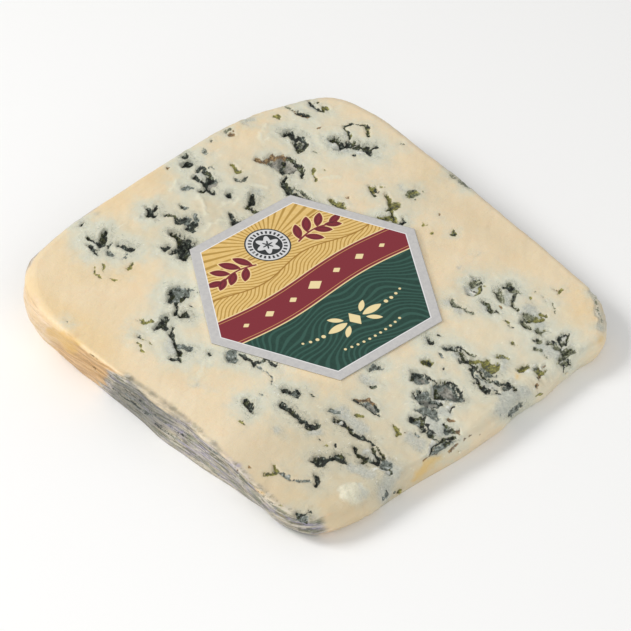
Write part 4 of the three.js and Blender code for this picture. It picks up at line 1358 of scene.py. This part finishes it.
def dark_moulds(tree):
    """The colours of slate and black, bluer on the left of the cheese and greener on the right; black's
    palest tone is partly painted glints.
    """
    moss = tree.field("moss")
    grey_green = tree.mix(moss, srgb(114, 123, 116), srgb(118, 121, 92))
    pale_green = tree.mix(moss, srgb(190, 195, 190), srgb(204, 204, 180))
    slate = tree.mottled(srgb(36, 43, 37), grey_green, pale_green, -0.05, 0.08)
    greener = tree.add(tree.noise(4.0, 2), tree.times(moss, 0.08))
    mossy = tree.mix(tree.step(greener, 0.02, 0.12), srgb(56, 65, 56), srgb(82, 86, 44))
    # Black's palest tone is partly pale mould and partly painted highlights, glints on its crinkles.
    return slate, tree.mottled(srgb(12, 17, 13), mossy, srgb(168, 175, 162), -0.01, 0.1)


def veins_over(tree, base):
    """The veins' moulds laid over the base, one on the other, with painted highlights, the glints, laid
    last.
    """
    mist, ash = pale_moulds(tree)
    slate, black = dark_moulds(tree)
    brown = tree.mottled(srgb(66, 44, 20), srgb(130, 96, 50), srgb(196, 164, 112), -0.04, 0.08)
    olive = tree.mottled(srgb(48, 50, 14), srgb(122, 120, 38), srgb(190, 182, 98), -0.04, 0.09)
    layered = tree.laid(base, MIST, mist, 0.65, 0.45)
    layered = tree.laid(layered, BROWN, brown, 0.9, 0.07)
    layered = tree.laid(layered, OLIVE, olive, 0.92, 0.07)
    layered = tree.laid(layered, SLATE, slate, 0.94, 0.06, 1.1)
    layered = tree.laid(layered, ASH, ash, 0.9, 0.15, 0.7)
    layered = tree.laid(layered, BLACK, black, 0.98, 0.04, 1.05)
    # Painted highlights: the glint field's thin white lines and spots, where light catches raised paste by
    # the veins.
    return tree.laid(layered, GLINT, srgb(232, 232, 222), 0.85, 0.08)


def fine_relief(tree):
    """Relief too fine for the mesh: grains, smears, the rind's streaks and crumbly mould."""
    rough = tree.add(tree.times(tree.fine, 0.25), tree.times(tree.noise(0.19, 3, 0.6), 0.12))
    smeared = tree.times(tree.noise((6.0, 1.2, 6.0), 4, 0.6, 38), 0.8)
    streaked = tree.times(tree.times(tree.thin, tree.field("rind")), 1.6)
    crumbly = tree.times(tree.times(tree.crinkle, tree.field("bloom")), 2.6)
    return tree.add(tree.add(tree.add(rough, smeared), streaked), crumbly)


def cheese_material():
    """The paste, the rind over it at the sides, and the veins over both."""
    tree = CheeseShader()
    edge = tree.add(tree.field("rind"), tree.times(tree.noise((5.0, 5.0, 1.0), 4), 0.9))
    colour = tree.tint(marked_paste(tree), tree.step(edge, 0.2, 0.85), 0.95, streaked_rind(tree))
    dark = tree.step(tree.add(tree.field(BLACK), tree.times(tree.ragged, 0.8)), 0.45, 0.6)
    tree.set(Base_Color=veins_over(tree, colour))
    tree.set(Roughness=tree.add(0.38, tree.add(tree.times(dark, 0.08), tree.times(tree.fine, 0.3))))
    tree.set(Subsurface_Weight=0.1, Subsurface_Scale=0.0005, Subsurface_Radius=(1.0, 0.72, 0.42))
    tree.set(Specular_IOR_Level=0.42)
    tree.bump(fine_relief(tree), 0.8, 0.35)
    return tree.material


# ---------------------------------------------------------------- the label's material

class LabelShader(Shader):
    """The label's node tree, which draws its print from the sheet's fields."""

    def inside(self, field, start=0.0):
        """The area where a field is above a value, in millimetres."""
        return self.step(self.field(field), start - PRINT_BLUR, start + PRINT_BLUR)

    def line(self, field, place, width):
        """A line drawn where a field has that value, in millimetres."""
        away = self.math("ABSOLUTE", self.math("SUBTRACT", self.field(field), place))
        return self.step(away, width / 2 + PRINT_BLUR, width / 2 - PRINT_BLUR)

    def engraved(self, field, share):
        """Engraved lines, one for each whole number of a field."""
        wave = self.math("PINGPONG", self.field(field), 0.5)
        return self.step(wave, share / 2 + 0.07, share / 2 - 0.07)


def printed_hills(tree, grain):
    """Gold hills over a furrowed dark green field."""
    gold = tree.mix(tree.step(grain, -0.2, 0.2), srgb(226, 188, 112), srgb(232, 198, 128))
    gold = tree.tint(gold, tree.engraved("hills", 0.34), 0.9, srgb(178, 138, 56))
    gold = tree.mix(tree.line("ridge", 0.0, 0.36), gold, srgb(164, 120, 44))
    green = tree.mix(tree.step(grain, -0.2, 0.2), srgb(16, 56, 46), srgb(24, 66, 54))
    green = tree.tint(green, tree.engraved("furrows", 0.36), 0.75, srgb(50, 92, 80))
    return tree.mix(tree.inside("upper"), green, gold)


def printed_ribbon(tree, colour):
    """Burgundy leaf sprigs, a burgundy ribbon and small pale motifs."""
    colour = tree.mix(tree.inside("leaf", -0.28), colour, srgb(240, 212, 150))
    colour = tree.mix(tree.inside("leaf"), colour, srgb(126, 32, 44))
    colour = tree.mix(tree.line("leaf", 0.45, 0.16), colour, srgb(86, 18, 30))
    colour = tree.mix(tree.inside("ribbon"), colour, srgb(128, 34, 46))
    colour = tree.mix(tree.line("ribbon", 0.0, 0.3), colour, srgb(240, 216, 160))
    colour = tree.mix(tree.line("ribbon", 0.8, 0.16), colour, srgb(206, 150, 96))
    return tree.mix(tree.inside("motif"), colour, srgb(240, 220, 166))


def printed_seal(tree, colour):
    """A silver seal with a ticked rim, and a pale flower on its dark middle."""
    colour = tree.mix(tree.inside("seal", -0.35), colour, srgb(52, 56, 58))
    colour = tree.mix(tree.inside("seal"), colour, srgb(216, 216, 216))
    ticks = tree.times(tree.inside("seal", 0.45), tree.engraved("ticks", 0.5))
    colour = tree.mix(ticks, colour, srgb(44, 48, 50))
    colour = tree.mix(tree.inside("seal", 1.35), colour, srgb(226, 226, 226))
    colour = tree.mix(tree.inside("seal", 1.6), colour, srgb(40, 44, 46))
    colour = tree.mix(tree.inside("petal"), colour, srgb(214, 214, 214))
    return tree.mix(tree.inside("petal", 1.5), colour, srgb(58, 62, 64))


def printed_border(tree, colour, grain):
    """A silver border round the print, with a pale line inside it."""
    silver = tree.mix(tree.step(grain, -0.2, 0.2), srgb(191, 189, 188), srgb(201, 199, 196))
    colour = tree.mix(tree.inside("edge", BORDER_WIDTH), silver, colour)
    return tree.mix(tree.line("edge", BORDER_WIDTH, 0.22), colour, srgb(238, 236, 236))


def label_material():
    """Printed paper."""
    tree = LabelShader("label")
    grain = tree.noise(0.8, 4, 0.6)
    colour = printed_seal(tree, printed_ribbon(tree, printed_hills(tree, grain)))
    tree.set(Base_Color=printed_border(tree, colour, grain))
    tree.set(Roughness=tree.add(0.36, tree.times(grain, 0.2)), Specular_IOR_Level=0.5)
    return tree.material


# ---------------------------------------------------------------- the cheese, its crumbs and its label


def make_cheese():
    """The cheese, and the crumbs that cling to it."""
    points, faces, fields, outward = dress_slab()
    body = add_mesh("cheese_body", points, faces, fields)
    crumbs = add_mesh("cheese_crumbs", *crumb_meshes(points, outward))
    material = cheese_material()
    for piece in (body, crumbs):
        piece.data.materials.append(material)
        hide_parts("cheese_wedge")
        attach(piece, "root")


def crumb_meshes(points, outward):
    """The crumbs' vertices, faces and colour fields. Each crumb is a lump pressed on the nearest side."""
    ball = bmesh.new()
    bmesh.ops.create_icosphere(ball, subdivisions=3, radius=1)
    shape = np.array([vertex.co for vertex in ball.verts])
    triangles = np.array([[vertex.index for vertex in face.verts] for face in ball.faces])
    ball.free()
    sides = np.nonzero(np.abs(outward[:, 2]) < 0.9)[0]
    seen = in_photo(to_face(points[sides]))
    vertices, faces = [], []
    fields = {ink: np.zeros(len(shape) * len(CRUMBS)) for ink in INKS}
    for index, (u, v, radius, ink) in enumerate(CRUMBS):
        nearest = sides[np.argmin(np.hypot(seen[:, 0] - u, seen[:, 1] - v))]
        middle = points[nearest] + outward[nearest] * radius * 0.5
        bumpy = shape * (1 + 0.5 * noise(shape + 7 * index, 0.8, 71, 2))[:, None]
        lump = bumpy * (1.3, 1.0, 0.8) * radius
        middle[2] = max(middle[2], -lump[:, 2].min())
        vertices.append(middle + lump)
        faces += (triangles + len(shape) * index).tolist()
        fields[ink][len(shape) * index:len(shape) * (index + 1)] = 1
    return np.vstack(vertices), faces, fields


def hexagon_sheet(radius, cells):
    """Places and triangles of a six-sided sheet in rings, and the first index of its outer ring."""
    rings = [np.zeros((1, 2))]
    for ring in range(1, cells + 1):
        turns = np.arange(7) * math.pi / 3
        corners = np.stack([np.cos(turns), np.sin(turns)], 1) * radius * ring / cells
        share = (np.arange(ring) / ring)[None, :, None]
        rings.append((corners[:-1, None] * (1 - share) + corners[1:, None] * share).reshape(-1, 2))
    starts = np.cumsum([0] + [len(ring) for ring in rings]).tolist()
    faces = []
    for ring in range(1, cells + 1):
        outer, inner = starts[ring], starts[ring - 1]
        for index in range(6 * ring):
            side, step = divmod(index, ring)
            after = outer + (index + 1) % (6 * ring)
            under = side * (ring - 1) + step
            nearest = inner + under % max(6 * (ring - 1), 1)
            faces.append((outer + index, after, nearest))
            if step:
                faces.append((outer + index, nearest, inner + under - 1))
    return np.vstack(rings), faces, starts[cells]


def leaf_depth(places, x, y, turn, length, width):
    """How far inside a pointed leaf each place is. The leaf starts at (x, y)."""
    cosine, sine = math.cos(math.radians(turn)), math.sin(math.radians(turn))
    away = places - (x, y)
    along = away @ (cosine, sine) - length / 2
    across = np.abs(away @ (-sine, cosine))
    radius = (length**2 + width**2) / (4 * width)
    return radius - np.hypot(along, across + radius - width / 2)


def diamond_depth(places, x, y, half_width, half_height):
    """How far inside a diamond each place is, about."""
    away = np.abs(places - (x, y)) / (half_width, half_height)
    return (1 - away.sum(1)) * 0.7 * min(half_width, half_height)


def sprig_depth(places, side):
    """How far inside a leaf sprig each place is: side 1 for the right one and -1 for the left one."""
    start, tip = np.array([6.4, 13.0]), np.array([17.6, 12.2])
    mirrored = places * (side, 1)
    share = np.clip((mirrored - start) @ (tip - start) / ((tip - start) @ (tip - start)), 0, 1)
    bend = np.stack([np.zeros(len(share)), 1.4 * np.sin(share * math.pi)], 1)
    stem = 0.24 - np.linalg.norm(mirrored - start - share[:, None] * (tip - start) - bend, axis=1)
    leaves = [leaf_depth(mirrored, *leaf) for leaf in SPRIG_LEAVES]
    return np.maximum.reduce([stem] + leaves)


def ribbon_middle(x):
    """The height of the ribbon's middle line, which waves a little."""
    return 0.9 * np.sin(x / 8.2)


def motif_depth(places):
    """How far inside a small pale motif each place is."""
    x, y = places.T
    motifs = [diamond_depth(places, 0, -13.6, 1.5, 2.2)]
    motifs += [diamond_depth(places, at, ribbon_middle(at), 1.5 * size, 1.1 * size)
               for at, size in RIBBON_DIAMONDS]
    motifs += [leaf_depth(places * (side, 1), *leaf) for leaf in GREEN_LEAVES for side in (1, -1)]
    motifs += [radius - np.hypot(x - at, y - level) for at, level, radius in GREEN_DOTS]
    return np.maximum.reduce(motifs)


def label_fields(places):
    """The fields of the print at each place (x, y) of the label: mostly millimetres inside a shape."""
    x, y = places.T
    wedge = np.mod(np.arctan2(y, x), math.pi / 3) - math.pi / 6
    near_ridge = 8.6 + 1.3 * np.sin(x / 4.6 + 0.4)
    far_ridge = 16.2 + 1.5 * np.sin(x / 6.1 - 1.2)
    rays = np.arctan2(x, y - SEAL_PLACE[1]) * SEAL_RAYS / (2 * math.pi)
    far_hills = (y + 0.4 * x + 0.55 * np.sin(x / 2.1)) / HILL_PITCH
    near_hills = (y - 0.55 * x + 0.5 * np.sin(x / 1.9 + y / 2.3)) / HILL_PITCH
    furrows = np.hypot(0.8 * x, y + 31) + 0.9 * np.sin(x / 2.4) + 0.6 * np.sin(y / 1.7 + x / 4.1)
    seal_away = np.hypot(x - SEAL_PLACE[0], y - SEAL_PLACE[1])
    seal_turn = np.arctan2(y - SEAL_PLACE[1], x - SEAL_PLACE[0])
    return {
        "edge": LABEL_RADIUS * math.cos(math.pi / 6) - np.hypot(x, y) * np.cos(wedge),
        "upper": y - ribbon_middle(x),
        "ribbon": RIBBON_HALF_WIDTH - np.abs(y - ribbon_middle(x)),
        "hills": np.where(y < near_ridge, near_hills, np.where(y < far_ridge, far_hills, rays)),
        "ridge": np.minimum(np.abs(y - near_ridge), np.abs(y - far_ridge)),
        "furrows": furrows / FURROW_PITCH,
        "seal": SEAL_RADIUS - seal_away,
        "ticks": seal_turn * SEAL_TICKS / (2 * math.pi),
        "petal": 2.3 + 0.6 * np.cos(6 * seal_turn) - seal_away,
        "leaf": np.maximum(sprig_depth(places, 1), sprig_depth(places, -1)),
        "motif": motif_depth(places),
    }


def label_mesh():
    """The vertices, faces and fields of a thin sheet, gently wavy, between the heights of its solid."""
    low, high = LABEL_HEIGHTS[0] + 0.06, LABEL_HEIGHTS[1] - 0.1
    flat, faces, rim = hexagon_sheet(LABEL_RADIUS, LABEL_CELLS)
    turned = flat @ turn_matrix(-LABEL_TURN)[:2, :2]
    wave = LABEL_WAVE * noise(np.column_stack([turned, np.zeros(len(flat))]), 9, 61, 2)
    top = from_face(turned[:, 0], turned[:, 1], high + wave)
    lower = turned[rim:]
    bottom = from_face(lower[:, 0], lower[:, 1], low)
    middle = from_face([0.0], [0.0], low)
    total = len(flat)
    count = len(lower)
    for index in range(count):
        after = (index + 1) % count
        faces.append((rim + after, rim + index, total + index, total + after))
        faces.append((total + count, total + after, total + index))
    fields = label_fields(flat)
    fields = {name: np.concatenate([values, values[rim:], values[:1]]) for name, values in fields.items()}
    return np.vstack([top, bottom, middle]), faces, fields


def make_label():
    label = add_mesh("label_sheet", *label_mesh())
    label.data.materials.append(label_material())
    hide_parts("label")
    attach(label, "root")


# ---------------------------------------------------------------- floor, light and camera

def make_floor():
    corners = [(-1, -1, 0), (1, -1, 0), (1, 1, 0), (-1, 1, 0)]
    floor = add_mesh("floor", np.array(corners, float) * FLOOR_REACH, [(0, 1, 2, 3)], smooth=False)
    tree = Shader("floor")
    tree.set(Base_Color=srgb(248, 248, 247), Roughness=0.8, Specular_IOR_Level=0.2)
    floor.data.materials.append(tree.material)


def add_lamp(name, place, size, power, colour):
    """A square area lamp that faces the part."""
    lamp = bpy.data.lights.new(name, "AREA")
    lamp.shape = "SQUARE"
    lamp.size = size * MM
    lamp.energy = power
    lamp.color = colour
    thing = bpy.data.objects.new(name, lamp)
    bpy.context.scene.collection.objects.link(thing)
    thing.location = Vector(place) * MM
    thing.rotation_euler = (-thing.location).to_track_quat("-Z", "Y").to_euler()


def light_scene():
    world = bpy.data.worlds.new("studio")
    bpy.context.scene.world = world
    world.use_nodes = True
    world.node_tree.nodes["Background"].inputs["Color"].default_value = (1.0, 1.0, 1.0, 1)
    world.node_tree.nodes["Background"].inputs["Strength"].default_value = SKY_STRENGTH
    for lamp in LAMPS:
        add_lamp(*lamp)
    bpy.context.scene.view_settings.view_transform = "Standard"


def make_camera():
    camera = bpy.data.cameras.new("camera")
    camera.lens = CAMERA_LENS
    camera.sensor_width = CAMERA_SENSOR
    thing = bpy.data.objects.new("camera", camera)
    bpy.context.scene.collection.objects.link(thing)
    turn, rise = math.radians(CAMERA_TURN), math.radians(CAMERA_HEIGHT_ANGLE)
    back = Vector((math.sin(turn) * math.cos(rise), -math.cos(turn) * math.cos(rise), math.sin(rise)))
    thing.location = (Vector(CAMERA_AIM) + back * CAMERA_DISTANCE) * MM
    facing = back.to_track_quat("Z", "Y").to_matrix()
    thing.rotation_euler = (facing @ Matrix.Rotation(-math.radians(CAMERA_ROLL), 3, "Z")).to_euler()
    bpy.context.scene.camera = thing


make_camera()
make_floor()
light_scene()
make_cheese()
make_label()
